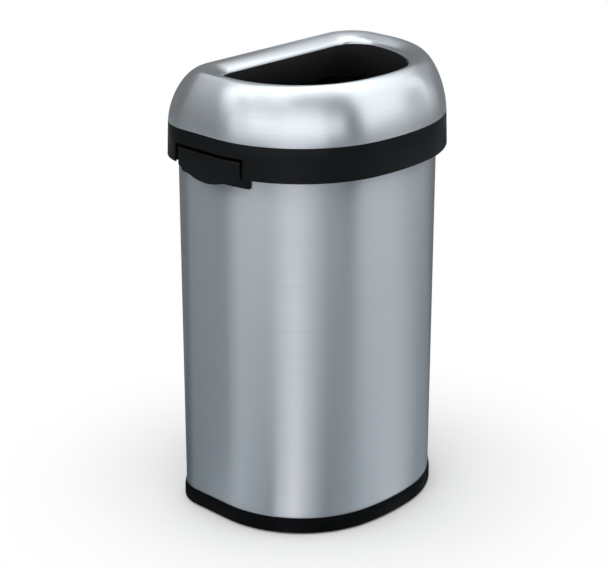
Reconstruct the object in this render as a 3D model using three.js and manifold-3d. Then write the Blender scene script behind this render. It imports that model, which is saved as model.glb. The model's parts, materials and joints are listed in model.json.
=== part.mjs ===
import * as THREE from 'three';
import { mergeVertices } from 'three/addons/utils/BufferGeometryUtils.js';
import Module from 'manifold-3d';

const wasm = await Module();
wasm.setup();

// Half-round waste bin, in millimetres. X runs across it, the bowed front faces -Y, the flat back faces +Y
// and Z is up from the floor. The origin is on the floor, under the middle of the body.

// Body in plan: a wide front arc, two tighter side arcs, straight sides, round corners and a flat back.
const bodyWidth = 408;
const bodyDepth = 311;
const bodyFrontRadius = 370;
const bodyFrontAngle = 8.8;
const bodyCornerRadius = 60;

// Heights above the floor, and what hangs from the top of the band or rises from it.
const baseTop = 28.6;
const bandTop = 652;
const bandHeight = 54;
const domeRise = 86;
const openingDrop = 14;

// Fits shared by every piece.
const clearance = 0.3;
const overrun = 2;

// Base ring: a moulded plinth with a ledge that carries the shell, and a lip round the inside of the ledge.
const skirtBottom = 2;
const skirtWall = 3;
const skirtBulge = 2.8;
const skirtShoulder = 9;
const skirtEdge = 1;
const skirtRound = 2.4;
const ledgeTop = 13.7;
const ledgeThickness = 3;
const ledgeWidth = 26;
const ledgeLipWall = 2.4;
const ledgeLipDrop = 3.6;
const gussetWall = 2;
const gussetBottom = 5;

// Body shell: sheet steel with a flange turned in at the bottom, a hem at the top and a lap seam at the back.
const shellSheet = 0.9;
const shellFlangeWidth = 15;
const hemThickness = 1.9;
const hemHeight = 8;
const seamWidth = 9;
const seamThickness = 0.8;

// Bottom plate: sheet steel with a raised middle.
const plateSheet = 1;
const plateRimWidth = 20;
const plateRise = 3;
const plateSlope = 3;

// Collar: a channel over the top edge of the shell, with a flange that centres the lid.
const collarWall = 2.5;
const collarRoof = 3.4;
const collarOuterHeight = 19;
const collarInnerHeight = 21;
const collarFlangeDrop = 8.7;
const collarFlangeThickness = 2.5;
const lidPlay = 0.5;

// Lid band: a tapering skirt under a shelf that rests on the collar.
const bandBottomReach = 17.2;
const bandTopReach = 15.2;
const bandWall = 3;
const bandEdge = 0.8;
const shelfThickness = 3;
const shelfOverlap = 7;

// Lid dome: a steel pressing that rises from the band to a crest and rolls over into the opening.
const domeSheet = 1;
const domeFootReach = 14.9;
const domeSideInset = 32;
const domeFrontInset = 41;
const domeBackInset = 55.5;
const domeCornerInset = 24;
const domeRoundness = 1.62;
const domeFlangeWidth = 18;

// Opening in the dome: the plan of the crest moved in, with a tighter front arc.
const openingSideInset = 24.9;
const openingFrontInset = 10.7;
const openingBackInset = 29.9;
const openingCornerInset = 7.9;
const openingRadiusShare = 0.5;
const openingFrontAngle = 15;

// Throat: the moulded lining that widens from the opening down to the band's shelf.
const throatWall = 2.2;
const throatFlangeReach = 12.4;
const throatFlangeOverlap = 4;
const throatBossRadius = 4.2;
const throatBossHeight = 8;

// Grips: a plate on each side of the shell with a finger pull in front of it, in a notch of the band. A cheek
// past each end of the notch stands close behind the band and shuts the gap beside the pull.
const gripCentre = 39;
const gripHalfLength = 62.5;
const gripPlateReach = 11;
const gripPlateThickness = 2.4;
const gripPlateDrop = 19;
const gripPlateCorner = 5;
const gripWall = 3;
const gripEndWall = 13;
const gripSwell = 3;
const gripEndDrop = 2;
const gripBow = 16.5;
const gripTopGap = 5.2;
const gripCheekGap = 1.2;
const gripCheekWall = 2.5;
const gripCheekPlay = 0.8;
const gripCheekEndInset = 1;
const gripStationPitch = 8;
const notchHeight = 31;
const notchEndGap = 4.8;

// Rubber feet and screws.
const footRadius = 11;
const footChamfer = 1;
const footStemRadius = 3;
const footStemLength = 3;
const screwRadius = 1.9;
const screwHeadRadius = 3.5;
const screwHeadHeight = 2.2;
const baseScrewInset = 8;
const baseScrewLength = 10;
const lidScrewReach = 8;
const lidScrewLength = 11;
const gripScrewRise = 11;
const gripScrewLength = 10;
const bossWall = 2.2;

// Places along half of the outline, as shares of its length from the middle of the front to the middle of the back.
const footShares = [0.1, 0.42, 0.8];
const baseScrewShares = [0.25, 0.6, 0.94];
const gussetShares = [0.03, 0.18, 0.33, 0.5, 0.7, 0.88, 0.98];
const lidScrewShares = [0.12, 0.42, 0.8];

// Facets.
const frontSteps = 3;
const sideSteps = 12;
const cornerSteps = 10;
const domeSteps = 8;
const rollSteps = 4;
const throatSteps = 5;
const plateCornerSteps = 3;
const screwSegments = 8;
const footSegments = 16;

// Heights and reaches that follow from the sizes above. A reach is measured outwards from the shell's outside.
const quarterTurn = Math.PI / 2;
const bandBottom = bandTop - bandHeight;
const crestHeight = bandTop + domeRise;
const openingHeight = crestHeight - openingDrop;
const ledgeBottom = ledgeTop - ledgeThickness;
const shellBottom = ledgeTop + clearance;
const plateBottom = shellBottom + shellSheet + clearance;
const lidSeat = bandTop - shelfThickness;
const collarTop = lidSeat - clearance;
const shellTop = collarTop - collarRoof - clearance;
const collarOuterBottom = collarTop - collarOuterHeight;
const domeBase = bandTop + clearance;
const throatBase = domeBase + domeSheet + clearance;
const throatTop = openingHeight - clearance;
const notchTop = bandBottom + notchHeight;
const gripTop = notchTop - gripTopGap;
const gripPlateBottom = bandBottom - gripPlateDrop;
const gripScrewHeight = bandBottom + gripScrewRise;
const gripPlateFront = clearance + gripPlateThickness;

const steel = new THREE.MeshStandardMaterial({ color: 0xa9afb8, roughness: 0.34, metalness: 1 });
const innerSteel = new THREE.MeshStandardMaterial({ color: 0x8d9196, roughness: 0.5, metalness: 1 });
const blackPlastic = new THREE.MeshStandardMaterial({ color: 0x22272b, roughness: 0.45, metalness: 0 });
const rubber = new THREE.MeshStandardMaterial({ color: 0x18191a, roughness: 0.85, metalness: 0 });
const zinc = new THREE.MeshStandardMaterial({ color: 0x9a9da1, roughness: 0.4, metalness: 1 });

// A half-round plan, from its half width, its front and back, and the radii and angle of its arcs.
function makePlan(halfWidth, front, back, frontRadius, frontAngle, cornerRadius) {
  return { halfWidth, front, back, frontRadius, frontAngle, cornerRadius };
}

// The plan moved outwards on every side.
function grow(plan, reach) {
  return {
    halfWidth: plan.halfWidth + reach,
    front: plan.front - reach,
    back: plan.back + reach,
    frontRadius: plan.frontRadius + reach,
    frontAngle: plan.frontAngle,
    cornerRadius: plan.cornerRadius + reach,
  };
}

// The plan part of the way from one plan to another.
function blend(from, to, share) {
  const mixed = {};
  for (const key of Object.keys(from)) {
    mixed[key] = THREE.MathUtils.lerp(from[key], to[key], share);
  }
  return mixed;
}

// The side arc that runs on smoothly from the front arc and ends parallel to the side.
function sideArc(plan) {
  const angle = THREE.MathUtils.degToRad(plan.frontAngle);
  const radius = (plan.halfWidth - plan.frontRadius * Math.sin(angle)) / (1 - Math.sin(angle));
  const shift = plan.frontRadius - radius;
  const centreX = shift * Math.sin(angle);
  const centreY = plan.front + plan.frontRadius - shift * Math.cos(angle);
  return { angle, radius, centreX, centreY };
}

// Points of an arc. Angles are measured from straight ahead, towards +X.
function arcPoints(centreX, centreY, radius, start, end, steps) {
  const points = [];
  for (let i = 0; i <= steps; i++) {
    const angle = THREE.MathUtils.lerp(start, end, i / steps);
    points.push(new THREE.Vector2(centreX + radius * Math.sin(angle), centreY - radius * Math.cos(angle)));
  }
  return points;
}

// The closed outline of a plan, anticlockwise from the middle of the front.
function outlinePoints(plan) {
  const side = sideArc(plan);
  const cornerX = plan.halfWidth - plan.cornerRadius;
  const cornerY = plan.back - plan.cornerRadius;
  const front = arcPoints(0, plan.front + plan.frontRadius, plan.frontRadius, 0, side.angle, frontSteps);
  const flank = arcPoints(side.centreX, side.centreY, side.radius, side.angle, quarterTurn, sideSteps);
  const corner = arcPoints(cornerX, cornerY, plan.cornerRadius, quarterTurn, Math.PI, cornerSteps);
  const right = [...front, ...flank.slice(1), ...corner];
  const left = right.slice(1).reverse().map((point) => new THREE.Vector2(-point.x, point.y));
  return [...right, ...left];
}

// The straight and curved runs of half an outline, from the middle of the front to the middle of the back.
function outlineRuns(plan) {
  const side = sideArc(plan);
  const sideStraight = plan.back - plan.cornerRadius - side.centreY;
  return [
    { length: plan.frontRadius * side.angle, radius: plan.frontRadius },
    { length: side.radius * (quarterTurn - side.angle), radius: side.radius },
    { length: sideStraight, radius: 0 },
    { length: plan.cornerRadius * quarterTurn, radius: plan.cornerRadius },
    { length: plan.halfWidth - plan.cornerRadius, radius: 0 },
  ];
}

function halfLength(plan) {
  return outlineRuns(plan).reduce((sum, run) => sum + run.length, 0);
}

// The place at a distance along half of the outline, moved out by a reach, and the heading of its outward normal.
function placeAlong(plan, distance, reach) {
  const spot = new THREE.Vector2(0, plan.front);
  let heading = 0;
  let left = distance;
  for (const run of outlineRuns(plan)) {
    const step = Math.min(left, run.length);
    if (run.radius > 0) {
      const centre = spot.clone().addScaledVector(outward(heading), -run.radius);
      heading += step / run.radius;
      spot.copy(centre).addScaledVector(outward(heading), run.radius);
    } else {
      spot.add(new THREE.Vector2(Math.cos(heading), Math.sin(heading)).multiplyScalar(step));
    }
    left -= step;
  }
  spot.addScaledVector(outward(heading), reach);
  return { x: spot.x, y: spot.y, heading };
}

function outward(heading) {
  return new THREE.Vector2(Math.sin(heading), -Math.cos(heading));
}

// Turns every face outwards.
function facingOut(geometry) {
  const index = geometry.getIndex();
  const position = geometry.getAttribute('position');
  const corners = [new THREE.Vector3(), new THREE.Vector3(), new THREE.Vector3()];
  let volume = 0;
  for (let i = 0; i < index.count; i += 3) {
    corners.forEach((corner, k) => corner.fromBufferAttribute(position, index.getX(i + k)));
    volume += corners[0].dot(corners[1].cross(corners[2]));
  }
  if (volume < 0) {
    index.array.reverse();
  }
  return geometry;
}

// Skins a row of rings with equal point counts. Without cap faces, the last ring joins the first.
function skin(rings, capFaces = null) {
  const count = rings[0].length;
  const index = [];
  const spans = capFaces ? rings.length - 1 : rings.length;
  for (let i = 0; i < spans; i++) {
    const low = i * count;
    const high = ((i + 1) % rings.length) * count;
    for (let j = 0; j < count; j++) {
      const next = (j + 1) % count;
      index.push(low + j, low + next, high + next);
      index.push(low + j, high + next, high + j);
    }
  }
  if (capFaces) {
    const last = (rings.length - 1) * count;
    for (const [a, b, c] of capFaces) {
      index.push(c, b, a);
      index.push(last + a, last + b, last + c);
    }
  }
  const geometry = new THREE.BufferGeometry().setFromPoints(rings.flat());
  geometry.setIndex(index);
  return facingOut(geometry);
}

// One ring of a plan at a height.
function ringAt(plan, height) {
  return outlinePoints(plan).map((point) => new THREE.Vector3(point.x, point.y, height));
}

// A hoop around the plan: its section is a closed list of [reach, height] pairs.
function hoop(plan, section) {
  return skin(section.map(([reach, height]) => ringAt(grow(plan, reach), height)));
}

// A disc of the plan: the same pairs run from its underside to its top, and both ends are capped.
function disc(plan, section) {
  const rings = section.map(([reach, height]) => ringAt(grow(plan, reach), height));
  const fan = [];
  for (let i = 1; i < rings[0].length - 1; i++) {
    fan.push([0, i, i + 1]);
  }
  return skin(rings, fan);
}

// A piece that follows the outline: at each station, sectionAt gives its section as [reach, height] pairs.
function sweepAlong(plan, stations, sectionAt) {
  const sections = stations.map((station) => sectionAt(station).map((pair) => new THREE.Vector2(...pair)));
  const capFaces = THREE.ShapeUtils.triangulateShape(sections[0], []);
  const rings = sections.map((section, i) => section.map((point) => {
    const place = placeAlong(plan, stations[i], point.x);
    return new THREE.Vector3(place.x, place.y, point.y);
  }));
  return skin(rings, capFaces);
}

// A turned piece along Z, from [radius, height] pairs that start and end on the axis.
function turned(profile, segments) {
  const points = profile.map(([radius, height]) => new THREE.Vector2(radius, height));
  return new THREE.LatheGeometry(points, segments).rotateX(quarterTurn);
}

function toSolid(geometry) {
  const bare = geometry.clone();
  bare.deleteAttribute('normal');
  bare.deleteAttribute('uv');
  const merged = mergeVertices(bare);
  const vertProperties = Float32Array.from(merged.getAttribute('position').array);
  const triVerts = Uint32Array.from(merged.getIndex().array);
  return new wasm.Manifold(new wasm.Mesh({ numProp: 3, vertProperties, triVerts }));
}

function toGeometry(solid) {
  const mesh = solid.getMesh();
  const geometry = new THREE.BufferGeometry();
  geometry.setAttribute('position', new THREE.BufferAttribute(mesh.vertProperties, 3));
  geometry.setIndex(new THREE.BufferAttribute(mesh.triVerts, 1));
  return geometry;
}

// Joins and cuts shapes: the first keeps what is added and loses what is cut away.
function combine(base, added, removed = []) {
  let solid = toSolid(base);
  for (const shape of added) {
    solid = solid.add(toSolid(shape));
  }
  for (const shape of removed) {
    solid = solid.subtract(toSolid(shape));
  }
  return toGeometry(solid);
}

function mirrored(geometry) {
  return facingOut(geometry.clone().scale(-1, 1, 1));
}

function bothSides(geometry) {
  return [geometry, mirrored(geometry)];
}

function addPiece(group, name, geometry, material) {
  geometry.computeVertexNormals();
  const mesh = new THREE.Mesh(geometry, material);
  mesh.name = name;
  group.add(mesh);
  return mesh;
}

const bodyPlan = makePlan(
  bodyWidth / 2, -bodyDepth / 2, bodyDepth / 2, bodyFrontRadius, bodyFrontAngle, bodyCornerRadius,
);
const bodyHalfLength = halfLength(bodyPlan);

// A round post on the outline, for a boss or for a hole.
function postAt(distance, reach, radius, bottom, top, segments) {
  const place = placeAlong(bodyPlan, distance, reach);
  const post = turned([[0, bottom], [radius, bottom], [radius, top], [0, top]], segments);
  return post.translate(place.x, place.y, 0);
}

// Posts at every share of the outline, on both sides.
function postsAt(shares, reach, radius, bottom, top, segments) {
  return shares.flatMap((share) => (
    bothSides(postAt(share * bodyHalfLength, reach, radius, bottom, top, segments))
  ));
}

function screwGeometry(length) {
  const rim = screwHeadHeight / 2;
  return turned([
    [0, -length], [screwRadius, -length], [screwRadius, 0], [screwHeadRadius, 0],
    [screwHeadRadius, rim], [screwHeadRadius - rim, screwHeadHeight], [0, screwHeadHeight],
  ], screwSegments);
}

// Base ring, with gussets under its ledge, a boss for each screw and a socket for each foot.
const footReach = -ledgeWidth / 2;

function baseRingGeometry() {
  const inside = skirtBulge - skirtWall;
  const lipInside = -ledgeWidth - ledgeLipWall;
  const ring = hoop(bodyPlan, [
    [skirtBulge, skirtBottom + skirtRound],
    [skirtBulge, baseTop - skirtShoulder],
    [clearance + skirtEdge, baseTop],
    [clearance, baseTop],
    [clearance, ledgeTop],
    [lipInside, ledgeTop],
    [lipInside, ledgeBottom - ledgeLipDrop],
    [-ledgeWidth, ledgeBottom - ledgeLipDrop],
    [-ledgeWidth, ledgeBottom],
    [inside, ledgeBottom],
    [inside, skirtBottom],
    [skirtBulge - skirtRound, skirtBottom],
  ]);
  const bossRadius = screwRadius + bossWall;
  const bosses = postsAt(baseScrewShares, -baseScrewInset, bossRadius, gussetBottom, ledgeBottom, screwSegments);
  const holeRadius = screwRadius + clearance;
  const holeTop = ledgeTop + overrun;
  const holes = postsAt(baseScrewShares, -baseScrewInset, holeRadius, gussetBottom - overrun, holeTop, screwSegments);
  const stemHole = footStemRadius + clearance;
  const sockets = postsAt(footShares, footReach, stemHole, ledgeBottom - overrun, holeTop, screwSegments);
  return combine(ring, [...bosses, ...gussets(inside)], [...holes, ...sockets]);
}

function gussets(inside) {
  return gussetShares.flatMap((share) => {
    const distance = share * bodyHalfLength;
    const stations = [distance - gussetWall / 2, distance + gussetWall / 2];
    const outer = inside + clearance;
    const inner = -ledgeWidth - clearance;
    const section = [[inner, gussetBottom + ledgeLipDrop], [outer, gussetBottom],
      [outer, ledgeBottom + clearance], [inner, ledgeBottom + clearance]];
    return bothSides(sweepAlong(bodyPlan, stations, () => section));
  });
}

function addFeet(group) {
  const height = ledgeBottom - clearance;
  const geometry = turned([
    [0, 0], [footRadius - footChamfer, 0], [footRadius, footChamfer], [footRadius, height],
    [footStemRadius, height], [footStemRadius, height + footStemLength], [0, height + footStemLength],
  ], footSegments);
  footShares.forEach((share, i) => {
    const place = placeAlong(bodyPlan, share * bodyHalfLength, footReach);
    for (const [side, sign] of [['right', 1], ['left', -1]]) {
      addPiece(group, `foot_${side}_${i + 1}`, geometry.clone(), rubber).position.set(sign * place.x, place.y, 0);
    }
  });
}

// Body shell, with its screw holes and the lap seam down the back.
function shellGeometry() {
  const wall = hoop(bodyPlan, [
    [0, shellBottom],
    [0, shellTop],
    [-hemThickness, shellTop],
    [-hemThickness, shellTop - hemHeight],
    [-shellSheet, shellTop - hemHeight],
    [-shellSheet, shellBottom + shellSheet],
    [-shellFlangeWidth, shellBottom + shellSheet],
    [-shellFlangeWidth, shellBottom],
  ]);
  const seamBottom = baseTop + clearance;
  const seamTop = collarOuterBottom - clearance;
  const seam = new THREE.BoxGeometry(seamWidth, seamThickness + shellSheet / 2, seamTop - seamBottom);
  const seamY = bodyDepth / 2 + seamThickness / 2 - shellSheet / 4;
  seam.translate(0, seamY, (seamBottom + seamTop) / 2);
  const holeRadius = screwRadius + clearance;
  const holeBottom = shellBottom - overrun;
  const holes = postsAt(baseScrewShares, -baseScrewInset, holeRadius, holeBottom, plateBottom, screwSegments);
  const gripHoles = gripScrewStations.flatMap((station) => (
    bothSides(gripScrewHole(station, -shellSheet - overrun, clearance))
  ));
  return combine(wall, [seam], [...holes, ...gripHoles]);
}

function bottomPlateGeometry() {
  const edge = -shellSheet - clearance;
  const raised = edge - plateRimWidth - plateSlope;
  const plate = disc(bodyPlan, [
    [raised, plateBottom + plateRise],
    [edge - plateRimWidth, plateBottom],
    [edge, plateBottom],
    [edge, plateBottom + plateSheet],
    [edge - plateRimWidth, plateBottom + plateSheet],
    [raised, plateBottom + plateRise + plateSheet],
  ]);
  const holeRadius = screwRadius + clearance;
  const holeTop = plateBottom + plateSheet + overrun;
  const holes = postsAt(baseScrewShares, -baseScrewInset, holeRadius, plateBottom - overrun, holeTop, screwSegments);
  return combine(plate, [], holes);
}

function addBaseScrews(group) {
  const geometry = screwGeometry(baseScrewLength);
  const height = plateBottom + plateSheet + clearance;
  baseScrewShares.forEach((share, i) => {
    const place = placeAlong(bodyPlan, share * bodyHalfLength, -baseScrewInset);
    for (const [side, sign] of [['right', 1], ['left', -1]]) {
      const screw = addPiece(group, `base_screw_${side}_${i + 1}`, geometry.clone(), zinc);
      screw.position.set(sign * place.x, place.y, height);
    }
  });
}

// The band's outside leans in towards its top.
function bandReach(height) {
  const share = (height - bandBottom) / (bandTop - bandBottom);
  return THREE.MathUtils.lerp(bandBottomReach, bandTopReach, share);
}

function collarGeometry() {
  const outside = clearance + collarWall;
  const slotInside = -hemThickness - clearance;
  const flangeTop = collarTop - collarFlangeDrop;
  const flangeReach = bandReach(lidSeat) - bandWall - lidPlay;
  return hoop(bodyPlan, [
    [clearance, collarOuterBottom],
    [outside, collarOuterBottom],
    [outside, flangeTop - collarFlangeThickness],
    [flangeReach, flangeTop - collarFlangeThickness],
    [flangeReach, flangeTop],
    [outside, flangeTop],
    [outside, collarTop],
    [slotInside - collarWall, collarTop],
    [slotInside - collarWall, collarTop - collarInnerHeight],
    [slotInside, collarTop - collarInnerHeight],
    [slotInside, shellTop + clearance],
    [clearance, shellTop + clearance],
  ]);
}

// Distances along the outline that belong to the grips, from the middle of the front.
const bodySide = sideArc(bodyPlan);
const gripMiddle = bodyFrontRadius * bodySide.angle + bodySide.radius * (quarterTurn - bodySide.angle)
  + gripCentre - bodySide.centreY;
const gripScrewStations = [-1, 1].map((end) => gripMiddle + end * (gripHalfLength - gripEndWall / 2));

// Even stations from one distance to another.
function stationsBetween(start, end) {
  const steps = Math.max(1, Math.ceil((end - start) / gripStationPitch));
  return Array.from({ length: steps + 1 }, (_, i) => THREE.MathUtils.lerp(start, end, i / steps));
}

// How far a grip has bowed at a station: nothing at its ends and everything in its middle.
function bowShare(station) {
  return Math.cos((station - gripMiddle) / gripHalfLength * quarterTurn);
}

function gripFace(station, height) {
  return bandReach(height) + gripSwell * bowShare(station);
}

function gripBottom(station) {
  return bandBottom - gripEndDrop - gripBow * bowShare(station);
}

// A hole or a screw place through the side, square to the outline.
function gripScrewHole(station, startReach, endReach) {
  const radius = screwRadius + clearance;
  const hole = turned([[0, startReach], [radius, startReach], [radius, endReach], [0, endReach]], screwSegments);
  const place = placeAlong(bodyPlan, station, 0);
  hole.rotateX(quarterTurn).rotateZ(place.heading);
  return hole.translate(place.x, place.y, gripScrewHeight);
}

function gripPlateStations() {
  const half = gripHalfLength + gripPlateReach;
  const straight = half - gripPlateCorner;
  const stations = stationsBetween(gripMiddle - straight, gripMiddle + straight);
  for (let i = 1; i <= plateCornerSteps; i++) {
    const step = gripPlateCorner * Math.sin(i / plateCornerSteps * quarterTurn);
    stations.unshift(gripMiddle - straight - step);
    stations.push(gripMiddle + straight + step);
  }
  return stations;
}

// The lower edge of the grip's back plate, with a round corner at each end.
function gripPlateEdge(station) {
  const straight = gripHalfLength + gripPlateReach - gripPlateCorner;
  const past = Math.max(0, Math.abs(station - gripMiddle) - straight);
  const share = Math.min(1, past / gripPlateCorner);
  return gripPlateBottom + gripPlateCorner * (1 - Math.sqrt(1 - share * share));
}

function gripGeometry() {
  const plateTop = collarOuterBottom - clearance;
  const plate = sweepAlong(bodyPlan, gripPlateStations(), (station) => [
    [clearance, gripPlateEdge(station)], [gripPlateFront, gripPlateEdge(station)],
    [gripPlateFront, plateTop], [clearance, plateTop],
  ]);
  const back = clearance + gripPlateThickness / 2;
  const start = gripMiddle - gripHalfLength;
  const end = gripMiddle + gripHalfLength;
  const roof = gripTop - gripWall;
  const pull = sweepAlong(bodyPlan, stationsBetween(start, end), (station) => {
    const bottom = gripBottom(station);
    return [
      [back, roof], [gripFace(station, roof) - gripWall, roof], [gripFace(station, bottom) - gripWall, bottom],
      [gripFace(station, bottom), bottom], [gripFace(station, gripTop), gripTop], [back, gripTop],
    ];
  });
  const ends = [[start, start + gripEndWall], [end - gripEndWall, end]].map(([from, to]) => (
    sweepAlong(bodyPlan, [from, to], (station) => {
      const bottom = gripBottom(station);
      return [
        [back, bottom], [gripFace(station, bottom) - gripWall / 2, bottom],
        [gripFace(station, roof) - gripWall / 2, roof + gripWall / 2], [back, roof + gripWall / 2],
      ];
    })
  ));
  const holes = gripScrewStations.map((station) => gripScrewHole(station, -overrun, gripScrewLength));
  return combine(plate, [pull, ...ends, ...gripCheeks(back)], holes);
}

function gripCheeks(back) {
  const reach = bandReach(notchTop) - bandWall - gripCheekPlay;
  const bottom = bandBottom + gripCheekEndInset;
  const top = notchTop - gripCheekEndInset;
  const near = gripHalfLength + notchEndGap + gripCheekGap;
  const far = near + gripCheekWall;
  return [[-far, -near], [near, far]].map((steps) => (
    sweepAlong(bodyPlan, steps.map((step) => gripMiddle + step), () => [
      [back, bottom], [reach, bottom], [reach, top], [back, top],
    ])
  ));
}

function addGrips(group) {
  const geometry = gripGeometry();
  addPiece(group, 'right_grip', geometry, blackPlastic);
  addPiece(group, 'left_grip', mirrored(geometry), blackPlastic);
  const screw = screwGeometry(gripScrewLength).rotateX(-quarterTurn);
  gripScrewStations.forEach((station, i) => {
    const place = placeAlong(bodyPlan, station, -shellSheet - clearance);
    const end = i === 0 ? 'front' : 'rear';
    for (const [side, sign] of [['right', 1], ['left', -1]]) {
      const piece = addPiece(group, `${side}_grip_screw_${end}`, screw.clone(), zinc);
      piece.position.set(sign * place.x, place.y, gripScrewHeight);
      piece.rotation.z = sign * place.heading;
    }
  });
}

// Lid band, with a notch over each grip and screw holes through its shelf.
function bandGeometry() {
  const inside = bandReach(lidSeat) - bandWall;
  const band = hoop(bodyPlan, [
    [bandBottomReach - bandWall, bandBottom],
    [bandBottomReach - bandEdge, bandBottom],
    [bandBottomReach, bandBottom + bandEdge],
    [bandTopReach, bandTop],
    [-shelfOverlap, bandTop],
    [-shelfOverlap, lidSeat],
    [inside, lidSeat],
  ]);
  const notch = sweepAlong(bodyPlan, notchStations(), () => [
    [bandTopReach - bandWall - overrun, bandBottom - overrun], [bandBottomReach + overrun, bandBottom - overrun],
    [bandBottomReach + overrun, notchTop], [bandTopReach - bandWall - overrun, notchTop],
  ]);
  return combine(band, [], [...bothSides(notch), ...lidScrewHoles(lidSeat - overrun, bandTop + overrun)]);
}

function notchStations() {
  const half = gripHalfLength + notchEndGap;
  return stationsBetween(gripMiddle - half, gripMiddle + half);
}

function lidScrewHoles(bottom, top) {
  return postsAt(lidScrewShares, lidScrewReach, screwRadius + clearance, bottom, top, screwSegments);
}

const domeFootPlan = grow(bodyPlan, domeFootReach);
const crestPlan = makePlan(
  domeFootPlan.halfWidth - domeSideInset, domeFootPlan.front + domeFrontInset, domeFootPlan.back - domeBackInset,
  domeFootPlan.frontRadius - domeFrontInset, bodyFrontAngle, domeFootPlan.cornerRadius - domeCornerInset,
);
const openingPlan = makePlan(
  crestPlan.halfWidth - openingSideInset, crestPlan.front + openingFrontInset, crestPlan.back - openingBackInset,
  crestPlan.frontRadius * openingRadiusShare, openingFrontAngle, crestPlan.cornerRadius - openingCornerInset,
);

// A ring of the dome between its foot and its crest. Depth is measured in from the outer skin.
function domeRing(share, depth) {
  const angle = share * quarterTurn;
  const rise = Math.pow(Math.sin(angle), 2 / domeRoundness);
  const run = 1 - Math.pow(Math.cos(angle), 2 / domeRoundness);
  const plan = grow(blend(domeFootPlan, crestPlan, run), -depth * Math.cos(angle));
  return ringAt(plan, THREE.MathUtils.lerp(domeBase, crestHeight, rise) - depth * Math.sin(angle));
}

// A ring of the rolled edge between the crest and the opening.
function rollRing(share, depth) {
  const angle = share * quarterTurn;
  const plan = grow(blend(crestPlan, openingPlan, Math.sin(angle)), depth * Math.sin(angle));
  return ringAt(plan, THREE.MathUtils.lerp(openingHeight, crestHeight, Math.cos(angle)) - depth * Math.cos(angle));
}

function domeGeometry() {
  const outer = [];
  const inner = [];
  for (let i = 0; i <= domeSteps; i++) {
    outer.push(domeRing(i / domeSteps, 0));
    if (i > 0) {
      inner.unshift(domeRing(i / domeSteps, domeSheet));
    }
  }
  for (let i = 1; i <= rollSteps; i++) {
    outer.push(rollRing(i / rollSteps, 0));
    inner.unshift(rollRing(i / rollSteps, domeSheet));
  }
  const flangeTop = domeBase + domeSheet;
  const flange = [
    ringAt(grow(domeFootPlan, -domeSheet), flangeTop),
    ringAt(grow(domeFootPlan, -domeFlangeWidth), flangeTop),
    ringAt(grow(domeFootPlan, -domeFlangeWidth), domeBase),
  ];
  const dome = skin([...outer, ...inner, ...flange]);
  return combine(dome, [], lidScrewHoles(domeBase - overrun, flangeTop + overrun));
}

// Throat: a bell from the opening down to its flange, with a boss for each lid screw.
function throatGeometry() {
  const footPlan = grow(bodyPlan, -throatFlangeOverlap);
  const flangeTop = throatBase + throatWall;
  const front = [];
  const back = [];
  for (let i = 0; i <= throatSteps; i++) {
    const angle = i / throatSteps * quarterTurn;
    const plan = blend(openingPlan, footPlan, 1 - Math.cos(angle));
    const height = THREE.MathUtils.lerp(throatTop, throatBase, Math.sin(angle));
    front.push(ringAt(plan, height));
    back.unshift(ringAt(grow(plan, throatWall * Math.cos(angle)), height + throatWall * Math.sin(angle)));
  }
  const bell = skin([
    ...front,
    ringAt(grow(bodyPlan, throatFlangeReach), throatBase),
    ringAt(grow(bodyPlan, throatFlangeReach), flangeTop),
    ...back,
  ]);
  const bossTop = flangeTop + throatBossHeight;
  const bosses = postsAt(lidScrewShares, lidScrewReach, throatBossRadius, throatBase, bossTop, screwSegments);
  const holeTop = lidSeat - clearance + lidScrewLength + clearance;
  return combine(bell, bosses, lidScrewHoles(throatBase - overrun, holeTop));
}

function addLidScrews(group) {
  const geometry = screwGeometry(lidScrewLength).rotateX(Math.PI);
  lidScrewShares.forEach((share, i) => {
    const place = placeAlong(bodyPlan, share * bodyHalfLength, lidScrewReach);
    for (const [side, sign] of [['right', 1], ['left', -1]]) {
      const screw = addPiece(group, `lid_screw_${side}_${i + 1}`, geometry.clone(), zinc);
      screw.position.set(sign * place.x, place.y, lidSeat - clearance);
    }
  });
}

const body = new THREE.Group();
addPiece(body, 'body_shell', shellGeometry(), steel);
addPiece(body, 'base_ring', baseRingGeometry(), blackPlastic);
addPiece(body, 'bottom_plate', bottomPlateGeometry(), innerSteel);
addPiece(body, 'collar', collarGeometry(), blackPlastic);
addFeet(body);
addBaseScrews(body);
addGrips(body);

const lid = new THREE.Group();
addPiece(lid, 'lid_band', bandGeometry(), blackPlastic);
addPiece(lid, 'lid_dome', domeGeometry(), steel);
addPiece(lid, 'throat', throatGeometry(), blackPlastic);
addLidScrews(lid);

const bin = new THREE.Group();
bin.add(body, lid);

export default bin;
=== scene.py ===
"""Half-round waste bin: a brushed steel body and lid dome with black plastic trim.

Lengths are in metres. X runs across the bin, the bowed front faces -Y, the flat back faces +Y and Z is up.
"""

import json
import logging
import math
from dataclasses import dataclass, field, replace
from enum import Enum
from typing import Callable, Container, Sequence

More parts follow.
